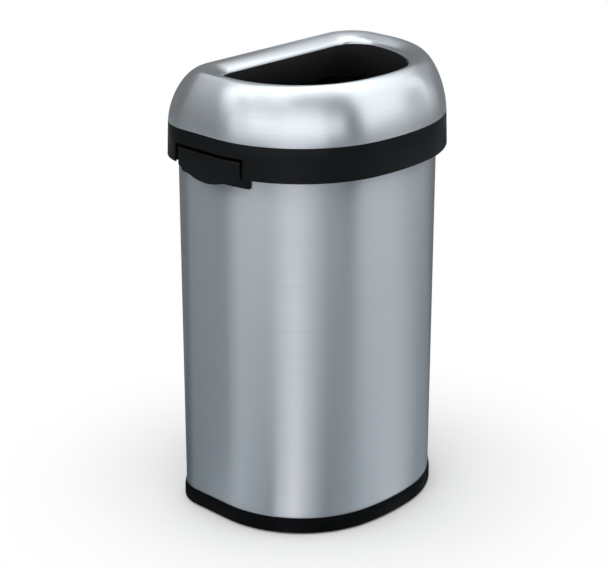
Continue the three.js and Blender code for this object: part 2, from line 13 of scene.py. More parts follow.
import bmesh
import bpy
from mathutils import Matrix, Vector

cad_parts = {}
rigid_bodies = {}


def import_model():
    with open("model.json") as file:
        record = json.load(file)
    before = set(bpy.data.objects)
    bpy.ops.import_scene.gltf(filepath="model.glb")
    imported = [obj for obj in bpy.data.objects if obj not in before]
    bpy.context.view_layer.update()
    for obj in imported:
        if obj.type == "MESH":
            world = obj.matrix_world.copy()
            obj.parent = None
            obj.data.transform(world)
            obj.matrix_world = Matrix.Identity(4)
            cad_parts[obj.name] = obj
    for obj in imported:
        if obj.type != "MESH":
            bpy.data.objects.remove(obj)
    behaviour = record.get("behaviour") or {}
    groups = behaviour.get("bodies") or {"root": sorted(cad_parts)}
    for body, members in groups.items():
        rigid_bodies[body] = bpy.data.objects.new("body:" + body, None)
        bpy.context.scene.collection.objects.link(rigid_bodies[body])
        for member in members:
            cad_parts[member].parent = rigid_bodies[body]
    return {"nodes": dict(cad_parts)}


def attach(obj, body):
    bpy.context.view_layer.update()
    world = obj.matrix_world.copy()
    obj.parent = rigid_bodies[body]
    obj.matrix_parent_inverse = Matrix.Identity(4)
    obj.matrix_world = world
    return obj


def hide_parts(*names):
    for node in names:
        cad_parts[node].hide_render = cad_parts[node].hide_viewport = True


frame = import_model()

LOG = logging.getLogger("waste_bin")
Colour = tuple[float, float, float]
Span = tuple[float, float]
Socket = bpy.types.NodeSocket
Inputs = dict[str | int, object]
Kinds = dict[str, str]
QUARTER = math.pi / 2
MM = 0.001
WELD = 1e-6
MIRROR_WELD = 2e-5
SEED_RADIUS = 1e-4
FACES_THAT_WAY = 0.7
GRAIN_TRAVEL = "grain_travel"
STRIPE_SHADE = "stripe_shade"
MIDDLE_TONES = (0.3, 0.7)
WHITE = (1.0, 1.0, 1.0)
UP = Vector((0.0, 0.0, 1.0))
STAGE_CENTRE = UP * 0.65


class Body(Enum):
    """The two bodies that the pieces ride on."""

    BIN = "body"
    LID = "lid"


class Side(Enum):
    """The two sides of the bin, by the sign of X."""

    LEFT = -1
    RIGHT = 1

    @property
    def label(self) -> str:
        """The side's name as it stands in the names of the pieces."""
        return self.name.lower()


class Slot(Enum):
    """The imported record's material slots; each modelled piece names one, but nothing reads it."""

    BRUSHED_STEEL = "brushed_steel"
    BLACK_PLASTIC = "black_plastic"


def to_side(spot: Vector, side: Side) -> Vector:
    """A point or a way on +X, carried to a side of the bin, or back from it."""
    return Vector((spot.x * side.value, spot.y, spot.z))


def direction(azimuth: float, elevation: float = 0.0) -> Vector:
    """The way from the bin to a bearing.

    Args:
        azimuth: degrees round the bin: 0 is straight in front of it, and 90 is its right side.
        elevation: degrees above the floor.

    Returns:
        The way, one unit long.
    """
    turn, rise = math.radians(azimuth), math.radians(elevation)
    return Vector((math.sin(turn) * math.cos(rise), -math.cos(turn) * math.cos(rise), math.sin(rise)))


# Outlines.


@dataclass(frozen=True)
class Run:
    """One stretch of half an outline: an arc about its centre, or a straight where it has none."""

    length: float
    steps: int
    heading: float
    centre: Vector | None = None
    angle: float = 0.0

    @property
    def travel(self) -> Vector:
        """The straight's whole displacement."""
        return Vector((math.cos(self.heading), math.sin(self.heading), 0.0)) * self.length


@dataclass(frozen=True)
class Place:
    """A place on an outline, with the heading of its outward normal."""

    spot: Vector
    heading: float

    @property
    def outward(self) -> Vector:
        """The outward normal."""
        return Vector((math.sin(self.heading), -math.cos(self.heading), 0.0))

    @property
    def onward(self) -> Vector:
        """The way along the outline, towards the back."""
        return Vector((math.cos(self.heading), math.sin(self.heading), 0.0))

    def at(self, reach: float, height: float) -> Vector:
        """The point that stands off the outline by a reach, at a height."""
        return self.spot + self.outward * reach + UP * height


@dataclass(frozen=True)
class HalfRound:
    """A half-round plan: a wide front arc, tighter side arcs, straight sides, round corners, a flat back."""

    half_width: float
    front: float
    back: float
    front_radius: float
    front_angle: float
    corner_radius: float
    front_steps: int = 10
    side_steps: int = 48
    straight_steps: int = 6
    corner_steps: int = 20
    back_steps: int = 8

    def grown(self, reach: float) -> "HalfRound":
        """The same plan, moved outwards by a reach on every side.

        Args:
            reach: how far to move it; less than 0 moves it inwards.

        Returns:
            The moved plan.
        """
        return replace(
            self,
            half_width=self.half_width + reach,
            front=self.front - reach,
            back=self.back + reach,
            front_radius=self.front_radius + reach,
            corner_radius=self.corner_radius + reach,
        )

    def mixed(self, other: "HalfRound", share: float) -> "HalfRound":
        """The plan that lies part of the way to another one.

        Args:
            other: the plan at share 1.
            share: how far to go, from 0 to 1.

        Returns:
            The plan between the two.
        """

        def between(name: str) -> float:
            """One size of the plan between."""
            return getattr(self, name) * (1 - share) + getattr(other, name) * share

        names = ("half_width", "front", "back", "front_radius", "front_angle", "corner_radius")
        return replace(self, **{name: between(name) for name in names})

    @property
    def side_radius(self) -> float:
        """The radius of the side arc that runs on smoothly from the front arc."""
        lean = math.sin(self.front_angle)
        return (self.half_width - self.front_radius * lean) / (1 - lean)

    @property
    def side_centre(self) -> Vector:
        """The centre of the side arc on +X.

        Returns:
            The centre, at the height 0.
        """
        shift = self.front_radius - self.side_radius
        back_off = self.front + self.front_radius - shift * math.cos(self.front_angle)
        return Vector((shift * math.sin(self.front_angle), back_off, 0.0))

    @property
    def corner_centre(self) -> Vector:
        """The centre of the corner on +X."""
        return Vector((self.half_width - self.corner_radius, self.back - self.corner_radius, 0.0))

    def runs(self) -> list[Run]:
        """The stretches of half the outline, from the middle of the front to the middle of the back.

        Returns:
            The front arc, the side arc, the straight side, the corner and the flat back.
        """
        side, corner = self.side_centre, self.corner_centre
        lean = self.front_angle
        sweep = QUARTER - lean
        front_centre = Vector((0.0, self.front + self.front_radius, 0.0))
        return [
            Run(self.front_radius * lean, self.front_steps, 0.0, front_centre, lean),
            Run(self.side_radius * sweep, self.side_steps, lean, side, sweep),
            Run(corner.y - side.y, self.straight_steps, QUARTER),
            Run(self.corner_radius * QUARTER, self.corner_steps, QUARTER, corner, QUARTER),
            Run(corner.x, self.back_steps, math.pi),
        ]

    @property
    def half_length(self) -> float:
        """The length of half the outline."""
        return sum(run.length for run in self.runs())

    def facing(self, heading: float) -> Place:
        """The place whose outward normal has a heading, on the side of the heading's sign.

        Args:
            heading: the angle from straight ahead, in radians.

        Returns:
            The place there.
        """
        distance, left = 0.0, abs(heading)
        for run in self.runs():
            step = min(left, run.angle)
            left -= step
            distance += run.length * (step / run.angle if run.angle else 1.0)
            if left <= 0:
                break
        place = self.place(distance)
        side = math.copysign(1, heading)
        return Place(Vector((place.spot.x * side, place.spot.y, 0.0)), place.heading * side)

    def place(self, distance: float) -> Place:
        """The place at a distance along half the outline.

        Args:
            distance: how far to go from the middle of the front, towards +X.

        Returns:
            The place there.
        """
        spot, heading, left = Vector((0.0, self.front, 0.0)), 0.0, distance
        for run in self.runs():
            step = min(left, run.length)
            left -= step
            if step <= 0:
                break
            if run.centre is None:
                spot = spot + run.travel * (step / run.length)
                continue
            radius = (spot - run.centre).length
            heading += step / radius
            spot = run.centre + Place(spot, heading).outward * radius
        return Place(spot, heading)


@dataclass(frozen=True)
class Corner:
    """A corner of a section: its reach off the outline, its height and its rounding."""

    reach: float
    height: float
    radius: float = 0.0
    steps: int = 4

    @property
    def flat(self) -> Vector:
        """The corner as a point of the section's own plane."""
        return Vector((self.reach, self.height))


BODY_PLAN = HalfRound(
    half_width=0.204,
    front=-0.1555,
    back=0.1555,
    front_radius=0.370,
    front_angle=math.radians(8.8),
    corner_radius=0.060,
)
CREST_PLAN = HalfRound(
    half_width=0.1869,
    front=-0.1294,
    back=0.1149,
    front_radius=0.3439,
    front_angle=math.radians(8.8),
    corner_radius=0.0509,
)
OPENING_PLAN = HalfRound(
    half_width=0.162,
    front=-0.1187,
    back=0.085,
    front_radius=0.17195,
    front_angle=math.radians(15),
    corner_radius=0.043,
)


# Modelling.


def select_only(obj: bpy.types.Object) -> None:
    """Selects one object alone and makes it the active one.

    Args:
        obj: the object.
    """
    bpy.ops.object.select_all(action="DESELECT")
    obj.select_set(True)
    bpy.context.view_layer.objects.active = obj


class Workpiece:
    """A mesh that is shaped in edit mode with the modelling operators, and then finished."""

    def __init__(self, name: str) -> None:
        """Starts an empty piece at the origin and opens it for editing.

        Args:
            name: the piece's name.
        """
        bpy.ops.object.select_all(action="DESELECT")
        bpy.ops.mesh.primitive_circle_add(vertices=3, radius=SEED_RADIUS)
        self.obj = bpy.context.object
        self.obj.name = name
        self.obj.data.name = name
        self.enter()
        bpy.ops.mesh.select_mode(type="VERT")
        bpy.ops.mesh.select_all(action="SELECT")
        bpy.ops.mesh.delete(type="VERT")

    @property
    def mesh(self) -> bmesh.types.BMesh:
        """The mesh as it stands in edit mode, with its tables up to date.

        Returns:
            The mesh.
        """
        mesh = bmesh.from_edit_mesh(self.obj.data)
        mesh.verts.ensure_lookup_table()
        mesh.edges.ensure_lookup_table()
        mesh.faces.ensure_lookup_table()
        return mesh

    def dot(self, spot: Vector) -> None:
        """Sets down a single vertex and leaves it selected.

        Args:
            spot: where it goes.
        """
        bpy.ops.mesh.select_all(action="DESELECT")
        bpy.ops.mesh.primitive_circle_add(vertices=3, radius=SEED_RADIUS, location=spot)
        bpy.ops.mesh.merge(type="CENTER")

    def pull(self, way: Vector) -> None:
        """Extrudes what is selected along a straight."""
        bpy.ops.mesh.extrude_region_move(TRANSFORM_OT_translate={"value": tuple(way)})

    def turn(self, centre: Vector, axis: Vector, angle: float, steps: int) -> None:
        """Spins what is selected anticlockwise about an axis.

        Args:
            centre: a point of the axis.
            axis: the axis; the operator itself turns the other way round it.
            angle: how far to turn, in radians.
            steps: how many facets the turn gets.
        """
        bpy.ops.mesh.spin(steps=steps, angle=angle, center=tuple(centre), axis=tuple(-axis))

    def outline(self, plan: HalfRound, height: float) -> range:
        """Draws half a plan as a strip of edges at a height.

        Args:
            plan: the plan to draw.
            height: the height of the strip.

        Returns:
            The numbers of the strip's vertices, from the middle of the front to the middle of the back.
        """
        first = len(self.mesh.verts)
        self.dot(Vector((0.0, plan.front, height)))
        self.follow(plan, height)
        return range(first, len(self.mesh.verts))

    def follow(self, plan: HalfRound, height: float = 0.0) -> None:
        """Carries what is selected along half a plan: spun round its arcs, extruded along its straights.

        Args:
            plan: the plan to follow.
            height: the height of the arcs' centres.
        """
        for run in plan.runs():
            if run.centre is not None:
                self.turn(run.centre + UP * height, UP, run.angle, run.steps)
                continue
            for _ in range(run.steps):
                self.pull(run.travel / run.steps)

    def section(self, corners: Sequence[Corner], place: Place, closed: bool = True) -> range:
        """Draws a section square to the outline, with its corners rounded by spins.

        Args:
            corners: the section's corners in order.
            place: where on the outline it stands.
            closed: whether the section runs on from its last corner to its first.

        Returns:
            The numbers of the section's vertices.
        """
        first = len(self.mesh.verts)
        count = len(corners)
        path = [Fillet.of(corners[i - 1], corners[i], corners[(i + 1) % count]) for i in range(count)]
        axis = place.outward.cross(UP)
        spot = path[0].end
        self.dot(place.at(spot.x, spot.y))
        for fillet in [*path[1:], path[0]] if closed else path[1:]:
            self.pull(place.at(*fillet.start) - place.at(*spot))
            spot = fillet.end
            if fillet.angle:
                way = axis * math.copysign(1, fillet.angle)
                self.turn(place.at(*fillet.centre), way, abs(fillet.angle), fillet.steps)
        if closed:
            bpy.ops.mesh.select_linked()
            bpy.ops.mesh.remove_doubles(threshold=WELD)
        return range(first, len(self.mesh.verts))

    def bridge(self, one: Container[int], other: Container[int]) -> None:
        """Bridges two strips or loops of edges, named by the numbers of their vertices.

        Args:
            one: the first one's vertices.
            other: the second one's vertices.
        """
        self.pick_edges(lambda edge: any(all(v.index in strip for v in edge.verts) for strip in (one, other)))
        bpy.ops.mesh.bridge_edge_loops()
        bpy.ops.mesh.select_mode(type="VERT")

    def pick_vertices(self, numbers: Sequence[int]) -> None:
        """Selects vertices by their numbers, and the edges between them.

        Args:
            numbers: their numbers.
        """
        mesh = self.mesh
        bpy.ops.mesh.select_all(action="DESELECT")
        bpy.ops.mesh.select_mode(type="VERT")
        for number in numbers:
            mesh.verts[number].select = True
        mesh.select_flush(True)

    def pick_edges(self, test: Callable[[bmesh.types.BMEdge], bool]) -> None:
        """Selects the edges that pass a test.

        Args:
            test: says whether an edge is wanted.
        """
        mesh = self.mesh
        bpy.ops.mesh.select_all(action="DESELECT")
        bpy.ops.mesh.select_mode(type="EDGE")
        for edge in filter(test, mesh.edges):
            edge.select = True

    def pick_faces(self, test: Callable[[bmesh.types.BMFace], bool]) -> None:
        """Selects the faces that pass a test.

        Args:
            test: says whether a face is wanted.
        """
        mesh = self.mesh
        bpy.ops.mesh.select_all(action="DESELECT")
        bpy.ops.mesh.select_mode(type="FACE")
        for face in filter(test, mesh.faces):
            face.select = True

    def bevel(self, width: float, segments: int) -> None:
        """Bevels the selected edges."""
        bpy.ops.mesh.bevel(offset=width, segments=segments, affect="EDGES")

    @staticmethod
    def enter() -> None:
        """Opens the active piece for editing."""
        bpy.ops.object.mode_set(mode="EDIT")

    def leave(self) -> None:
        """Closes the edit."""
        if self.obj.mode == "EDIT":
            bpy.ops.object.mode_set(mode="OBJECT")

    def modify(self, kind: str, **settings: object) -> None:
        """Adds a modifier and applies it.

        Args:
            kind: the modifier's type.
            settings: the values that it gets.
        """
        self.leave()
        modifier = self.obj.modifiers.new(kind.title(), kind)
        for name, value in settings.items():
            setattr(modifier, name, value)
        bpy.context.view_layer.objects.active = self.obj
        bpy.ops.object.modifier_apply(modifier=modifier.name)

    def mirror(self) -> None:
        """Adds the other half across the middle plane and welds the two."""
        self.modify("MIRROR", merge_threshold=MIRROR_WELD)

    def settle(self) -> None:
        """Welds doubles and turns every face the right way."""
        self.leave()
        self.enter()
        bpy.ops.mesh.select_all(action="SELECT")
        bpy.ops.mesh.remove_doubles(threshold=WELD)
        bpy.ops.mesh.normals_make_consistent(inside=False)
        self.leave()

    def face_towards(self, spot: Vector, way: Vector) -> None:
        """Turns an open skin over where its face nearest to a spot looks away from a direction.

        Args:
            spot: near which face to look.
            way: where that face should look.
        """
        nearest = min(self.obj.data.polygons, key=lambda face: (face.center - spot).length)
        if nearest.normal.dot(way) < 0:
            self.enter()
            bpy.ops.mesh.select_all(action="SELECT")
            bpy.ops.mesh.flip_normals()
            self.leave()

    def thicken(self, wall: float) -> None:
        """Gives an open skin its wall, inwards from the side that it shows."""
        self.modify("SOLIDIFY", thickness=wall, offset=-1.0)

    def finish(self, sharp_degrees: float = 35.0) -> bpy.types.Object:
        """Shades the piece and hands it over.

        Args:
            sharp_degrees: the angle past which an edge stays sharp.

        Returns:
            The finished object, at the origin.
        """
        self.leave()
        select_only(self.obj)
        bpy.ops.object.shade_smooth_by_angle(angle=math.radians(sharp_degrees))
        return self.obj


@dataclass(frozen=True)
class Fillet:
    """How a section rounds one of its corners: where it leaves one straight and meets the next."""

    start: Vector
    end: Vector
    centre: Vector
    angle: float
    steps: int

    @staticmethod
    def of(before: Corner, corner: Corner, after: Corner) -> "Fillet":
        """Works out the rounding of a corner between its two neighbours.

        Args:
            before: the corner before it.
            corner: the corner to round.
            after: the corner after it.

        Returns:
            Its fillet; one with no radius is the corner itself.
        """
        spot = corner.flat
        if corner.radius == 0:
            return Fillet(spot, spot, spot, 0.0, 0)
        come = (spot - before.flat).normalized()
        leave = (after.flat - spot).normalized()
        turn = math.atan2(come.x * leave.y - come.y * leave.x, come.dot(leave))
        cut = corner.radius * math.tan(abs(turn) / 2)
        left = Vector((-come.y, come.x)) * math.copysign(corner.radius, turn)
        start = spot - come * cut
        return Fillet(start, spot + leave * cut, start + left, turn, corner.steps)


def sweep(name: str, corners: Sequence[Corner], plan: HalfRound = BODY_PLAN) -> Workpiece:
    """Models a hoop: a section carried round half the plan and mirrored.

    Args:
        name: the piece's name.
        corners: the section.
        plan: the outline to follow.

    Returns:
        The closed hoop.
    """
    piece = Workpiece(name)
    piece.section(corners, plan.place(0.0))
    piece.follow(plan)
    piece.mirror()
    piece.settle()
    return piece


@dataclass(frozen=True)
class Ring:
    """A ring of a loft: a plan at a height."""

    plan: HalfRound
    height: float


def loft(name: str, rings: Sequence[Ring]) -> Workpiece:
    """Models an open skin from ring to ring, on one half and mirrored.

    Each vertex keeps how far its ring lies along the skin, in an attribute that the grain follows.

    Args:
        name: the piece's name.
        rings: the rings in order.

    Returns:
        The open skin.
    """
    piece = Workpiece(name)
    strips: list[range] = []
    for ring in rings:
        strips.append(piece.outline(ring.plan, ring.height))
        if len(strips) > 1:
            piece.bridge(strips[-2], strips[-1])
    piece.leave()
    travel, along = 0.0, []
    for i, strip in enumerate(strips):
        if i:
            middle = (strip[0], strips[i - 1][0])
            travel += (piece.obj.data.vertices[middle[0]].co - piece.obj.data.vertices[middle[1]].co).length
        along += [travel] * len(strip)
    layer = piece.obj.data.attributes.new(GRAIN_TRAVEL, "FLOAT", "POINT")
    layer.data.foreach_set("value", along)
    piece.mirror()
    piece.settle()
    return piece


# Shader nodes.


class NodeSheet:
    """A node tree that is filled in by name."""

    def __init__(self, tree: bpy.types.NodeTree) -> None:
        """Takes a tree and empties it."""
        self.tree = tree
        self.tree.nodes.clear()

    def add(self, kind: str, inputs: Inputs | None = None, **settings: object) -> bpy.types.Node:
        """Adds a node.

        Args:
            kind: the node's type, without its ShaderNode prefix.
            inputs: what goes into its sockets, by name or number: a value, or another node's output.
            settings: the node's own settings.

        Returns:
            The node.
        """
        node = self.tree.nodes.new(kind if kind.startswith("NodeGroup") else "ShaderNode" + kind)
        for name, value in settings.items():
            setattr(node, name, value)
        for name, value in (inputs or {}).items():
            if isinstance(value, Socket):
                self.tree.links.new(value, node.inputs[name])
            else:
                node.inputs[name].default_value = value
        return node

    def math(self, operation: str, *values: object) -> Socket:
        """A Math node's output, from its operation and its values."""
        return self.add("Math", dict(enumerate(values)), operation=operation).outputs[0]

    def mapped(self, value: Socket, low: float, high: float, span: Span = (0.0, 1.0)) -> Socket:
        """A value moved from one span to another.

        Args:
            value: what is moved.
            low: what the span's start becomes.
            high: what the span's end becomes.
            span: where the value starts and ends.

        Returns:
            The moved value, held inside its new limits.
        """
        inputs = {"Value": value, "From Min": span[0], "From Max": span[1], "To Min": low, "To Max": high}
        return self.add("MapRange", inputs, clamp=True).outputs["Result"]

    def weighed(self, one: Socket, other: Socket, share: float) -> Socket:
        """Two values added up: the first by its share, and the second by the rest."""
        return self.math("ADD", self.math("MULTIPLY", one, share), self.math("MULTIPLY", other, 1 - share))

    def blend(self, share: object, one: object, other: object) -> Socket:
        """A colour between two others; the sockets for colours are numbers 6 and 7, and 2 behind them."""
        return self.add("Mix", {0: share, 6: one, 7: other}, data_type="RGBA").outputs[2]

    def noise(self, vector: Socket, scale: float, detail: float = 2.0, rough: float = 0.5) -> Socket:
        """A noise value over a vector."""
        inputs = {"Vector": vector, "Scale": scale, "Detail": detail, "Roughness": rough}
        return self.add("TexNoise", inputs).outputs["Fac"]

    def show(self, shader: bpy.types.Node) -> None:
        """Makes a shader the one that the material shows."""
        self.add("OutputMaterial", {"Surface": shader.outputs[0]})

    def seen(self) -> Socket:
        """The value 1 for what the camera, a reflection or a clear piece sees, and 0 for light.

        Returns:
            The value.
        """
        rays = self.add("LightPath").outputs
        seen = self.math("MAXIMUM", rays["Is Camera Ray"], rays["Is Glossy Ray"])
        return self.math("MAXIMUM", seen, rays["Is Transmission Ray"])


def new_material(name: str) -> tuple[bpy.types.Material, NodeSheet]:
    """Starts a material, and gives it with the sheet that fills it in.

    Args:
        name: the material's name.

    Returns:
        The material and its sheet.
    """
    material = bpy.data.materials.new(name)
    material.use_nodes = True
    return material, NodeSheet(material.node_tree)


def new_group(name: str, inputs: Kinds, outputs: Kinds) -> tuple[bpy.types.NodeTree, NodeSheet]:
    """Starts a shader node group.

    Args:
        name: the group's name.
        inputs: its inputs' socket types by name.
        outputs: its outputs' socket types by name.

    Returns:
        The group's tree and the sheet that fills it in.
    """
    tree = bpy.data.node_groups.new(name, "ShaderNodeTree")
    for way, sockets in (("INPUT", inputs), ("OUTPUT", outputs)):
        for socket, kind in sockets.items():
            tree.interface.new_socket(socket, in_out=way, socket_type="NodeSocket" + kind)
    return tree, NodeSheet(tree)


def brushing_group() -> bpy.types.NodeTree:
    """The group for brushed grain: long streaks across Z, coarse and fine.

    Returns:
        The group, with a Streaks mask and a Height for bump.
    """
    tree, sheet = new_group(
        "brushed_grain",
        {"Vector": "Vector", "Along": "Float", "Across": "Float"},
        {"Streaks": "Float", "Height": "Float"},
    )
    start = sheet.add("NodeGroupInput").outputs
    parts = sheet.add("SeparateXYZ", {0: start["Vector"]}).outputs

    def stretched(along: float, across: float) -> Socket:
        """The vector, squeezed along the brushing and stretched across it.

        Args:
            along: the grain's share of the group's scale along the brushing.
            across: its share across the brushing.

        Returns:
            The stretched vector.
        """
        flat = sheet.math("MULTIPLY", start["Along"], along)
        tall = sheet.math("MULTIPLY", start["Across"], across)
        spots = {i: sheet.math("MULTIPLY", parts[i], flat if i < 2 else tall) for i in range(3)}
        return sheet.add("CombineXYZ", spots).outputs[0]

    coarse = sheet.noise(stretched(along=1.0, across=0.16), scale=1.0, detail=3.0, rough=0.6)
    medium = sheet.noise(stretched(along=1.6, across=0.45), scale=1.0, rough=0.6)
    fine = sheet.noise(stretched(along=3.0, across=1.0), scale=1.0, rough=0.7)
    streaks = sheet.weighed(coarse, medium, share=0.45)
    height = sheet.weighed(fine, medium, share=0.6)
    sheet.add("NodeGroupOutput", {"Streaks": streaks, "Height": height})
    return tree


def handling_group() -> bpy.types.NodeTree:
    """The group for the faint cloudiness that wiping and handling leave.

    Returns:
        The group, with a Cloud mask.
    """
    tree, sheet = new_group("handling_film", {"Vector": "Vector", "Scale": "Float"}, {"Cloud": "Float"})
    start = sheet.add("NodeGroupInput").outputs
    finer = 5.0
    wide = sheet.noise(start["Vector"], start["Scale"], detail=3.0)
    small = sheet.noise(start["Vector"], sheet.math("MULTIPLY", start["Scale"], finer))
    sheet.add("NodeGroupOutput", {"Cloud": sheet.weighed(wide, small, share=0.7)})
    return tree


def moulding_group() -> bpy.types.NodeTree:
    """The group for the skin of a moulded piece: a fine matt texture over slow waves.

    Returns:
        The group, with a Texture mask and a Height for bump.
    """
    inputs = {"Vector": "Vector", "Scale": "Float"}
    tree, sheet = new_group("moulded_skin", inputs, {"Texture": "Float", "Height": "Float"})
    start = sheet.add("NodeGroupInput").outputs
    wider = 0.02
    grain = sheet.noise(start["Vector"], start["Scale"])
    waves = sheet.noise(start["Vector"], sheet.math("MULTIPLY", start["Scale"], wider), detail=1.0)
    sheet.add("NodeGroupOutput", {"Texture": grain, "Height": sheet.weighed(grain, waves, share=0.4)})
    return tree


class Groups:
    """The shader groups that the finishes share, each built once."""

    def __init__(self) -> None:
        """Builds the groups."""
        self.brushing = brushing_group()
        self.handling = handling_group()
        self.moulding = moulding_group()


def solid(colour: Colour, factor: float = 1.0) -> tuple[float, float, float, float]:
    """A colour with full alpha, made lighter or darker by a factor."""
    return (colour[0] * factor, colour[1] * factor, colour[2] * factor, 1.0)


@dataclass(frozen=True)
class BrushedSteel:
    """Stainless sheet with a satin brushing that runs round the bin."""

    name: str
    colour: Colour
    roughness: float = 0.46
    anisotropy: float = 0.9
    along: float = 5.0
    across: float = 2400.0
    contrast: float = 0.04
    streak_swing: float = 0.03
    film_scale: float = 6.0
    film_swing: float = 0.02
    relief: float = 0.00004
    bump: float = 0.25
    grain_turn: float = 0.25
    follows_skin: bool = False

    def build(self, groups: Groups) -> bpy.types.Material:
        """Builds the finish.

        Args:
            groups: the shared shader groups.

        Returns:
            The material.
        """
        material, sheet = new_material(self.name)
        spot = sheet.add("TexCoord").outputs["Object"]
        grain_spot = spot
        if self.follows_skin:
            parts = sheet.add("SeparateXYZ", {0: spot}).outputs
            travel = sheet.add("Attribute", attribute_name=GRAIN_TRAVEL).outputs["Fac"]
            grain_spot = sheet.add("CombineXYZ", {0: parts[0], 1: parts[1], 2: travel}).outputs[0]
        grain_inputs = {"Vector": grain_spot, "Along": self.along, "Across": self.across}
        grain = sheet.add("Group", grain_inputs, node_tree=groups.brushing).outputs
        film_inputs = {"Vector": spot, "Scale": self.film_scale}
        film = sheet.add("Group", film_inputs, node_tree=groups.handling).outputs
        streaks = sheet.mapped(grain["Streaks"], 0.0, 1.0, MIDDLE_TONES)
        dark, light = (solid(self.colour, 1 + sign * self.contrast) for sign in (-1, 1))
        colour = sheet.blend(streaks, dark, light)
        cloud = sheet.mapped(film["Cloud"], -self.film_swing, self.film_swing, MIDDLE_TONES)
        rough = sheet.mapped(streaks, self.roughness + self.streak_swing, self.roughness - self.streak_swing)
        bump = {"Strength": self.bump, "Distance": self.relief, "Height": grain["Height"]}
        shader = sheet.add("BsdfPrincipled", {
            "Base Color": colour,
            "Metallic": 1.0,
            "Roughness": sheet.math("ADD", rough, cloud),
            "Anisotropic": self.anisotropy,
            "Anisotropic Rotation": self.grain_turn,
            "Normal": sheet.add("Bump", bump).outputs[0],
        })
        sheet.show(shader)
        return material


@dataclass(frozen=True)
class MouldedPlastic:
    """Black plastic or rubber with a fine moulded skin."""

    name: str
    colour: Colour
    roughness: float
    gloss: float
    grain: float = 1400.0
    relief: float = 0.00003
    bump: float = 0.3
    film_scale: float = 9.0
    film_tones: Span = (0.88, 1.14)
    film_swing: float = 0.03
    texture_swing: float = 0.04

    def build(self, groups: Groups) -> bpy.types.Material:
        """Builds the finish.

        Args:
            groups: the shared shader groups.

        Returns:
            The material.
        """
        material, sheet = new_material(self.name)
        spot = sheet.add("TexCoord").outputs["Object"]
        skin_inputs = {"Vector": spot, "Scale": self.grain}
        skin = sheet.add("Group", skin_inputs, node_tree=groups.moulding).outputs
        film_inputs = {"Vector": spot, "Scale": self.film_scale}
        film = sheet.add("Group", film_inputs, node_tree=groups.handling).outputs
        cloud = sheet.mapped(film["Cloud"], 0.0, 1.0, MIDDLE_TONES)
        dark, light = (solid(self.colour, tone) for tone in self.film_tones)
        texture = sheet.mapped(skin["Texture"], -self.texture_swing, self.texture_swing, MIDDLE_TONES)
        rough = sheet.mapped(cloud, self.roughness - self.film_swing, self.roughness + self.film_swing)
        bump = {"Strength": self.bump, "Distance": self.relief, "Height": skin["Height"]}
        shader = sheet.add("BsdfPrincipled", {
            "Base Color": sheet.blend(cloud, dark, light),
            "Roughness": sheet.math("ADD", rough, texture),
            "Specular IOR Level": self.gloss,
            "Normal": sheet.add("Bump", bump).outputs[0],
        })
        sheet.show(shader)
        return material


class Finishes:
    """Every finish of the bin, as materials."""

    def __init__(self) -> None:
        """Builds the materials."""
        groups = Groups()
        self.body_steel = BrushedSteel("body_steel", (0.69, 0.715, 0.745)).build(groups)
        # The dome's steel is a lighter copy of the body's steel: painted light that brightens the dome's
        # highlights.
        self.painted_bright_dome_steel = BrushedSteel(
            "painted_bright_dome_steel", (0.75, 0.775, 0.80), roughness=0.32, anisotropy=0.6, follows_skin=True,
        ).build(groups)
        self.plain_steel = BrushedSteel(
            "plain_steel", (0.42, 0.43, 0.44), roughness=0.5, anisotropy=0.2, across=900.0, contrast=0.08,
        ).build(groups)
        self.zinc = BrushedSteel(
            "zinc_plate", (0.52, 0.53, 0.55), roughness=0.35, anisotropy=0.0, along=300.0, across=300.0,
        ).build(groups)
        self.plastic = MouldedPlastic("black_plastic", (0.0044, 0.0052, 0.0061), 0.33, 0.13).build(groups)
        self.base_plastic = MouldedPlastic("base_plastic", (0.0024, 0.0028, 0.0033), 0.45, 0.04).build(groups)
        # The lining's black is lighter than the band's black plastic: painted light that lifts the shaded
        # inside of the opening.
        self.lining = MouldedPlastic("lightened_black_lining", (0.0175, 0.0165, 0.0170), 0.62, 0.2).build(groups)
        self.rubber = MouldedPlastic(
            "rubber", (0.014, 0.014, 0.014), 0.8, 0.25, grain=700.0, relief=0.00008,
        ).build(groups)


def dress(obj: bpy.types.Object, material: bpy.types.Material) -> None:
    """Gives an object one material."""
    obj.data.materials.clear()
    obj.data.materials.append(material)


def commit(obj: bpy.types.Object, finish: bpy.types.Material, body: Body, slot: Slot, *nodes: str) -> None:
    """Dresses a finished piece, which then rides on its body and stands for its nodes of the frame.

    Args:
        obj: the finished piece.
        finish: its material.
        body: the body that it rides on.
        slot: not used.
        nodes: the nodes that it stands for.
    """
    dress(obj, finish)
    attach(obj, body.value)
    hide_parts(*nodes)
    LOG.info("%s: %d faces, stands for %s", obj.name, len(obj.data.polygons), ", ".join(nodes))


# Sub-assemblies.


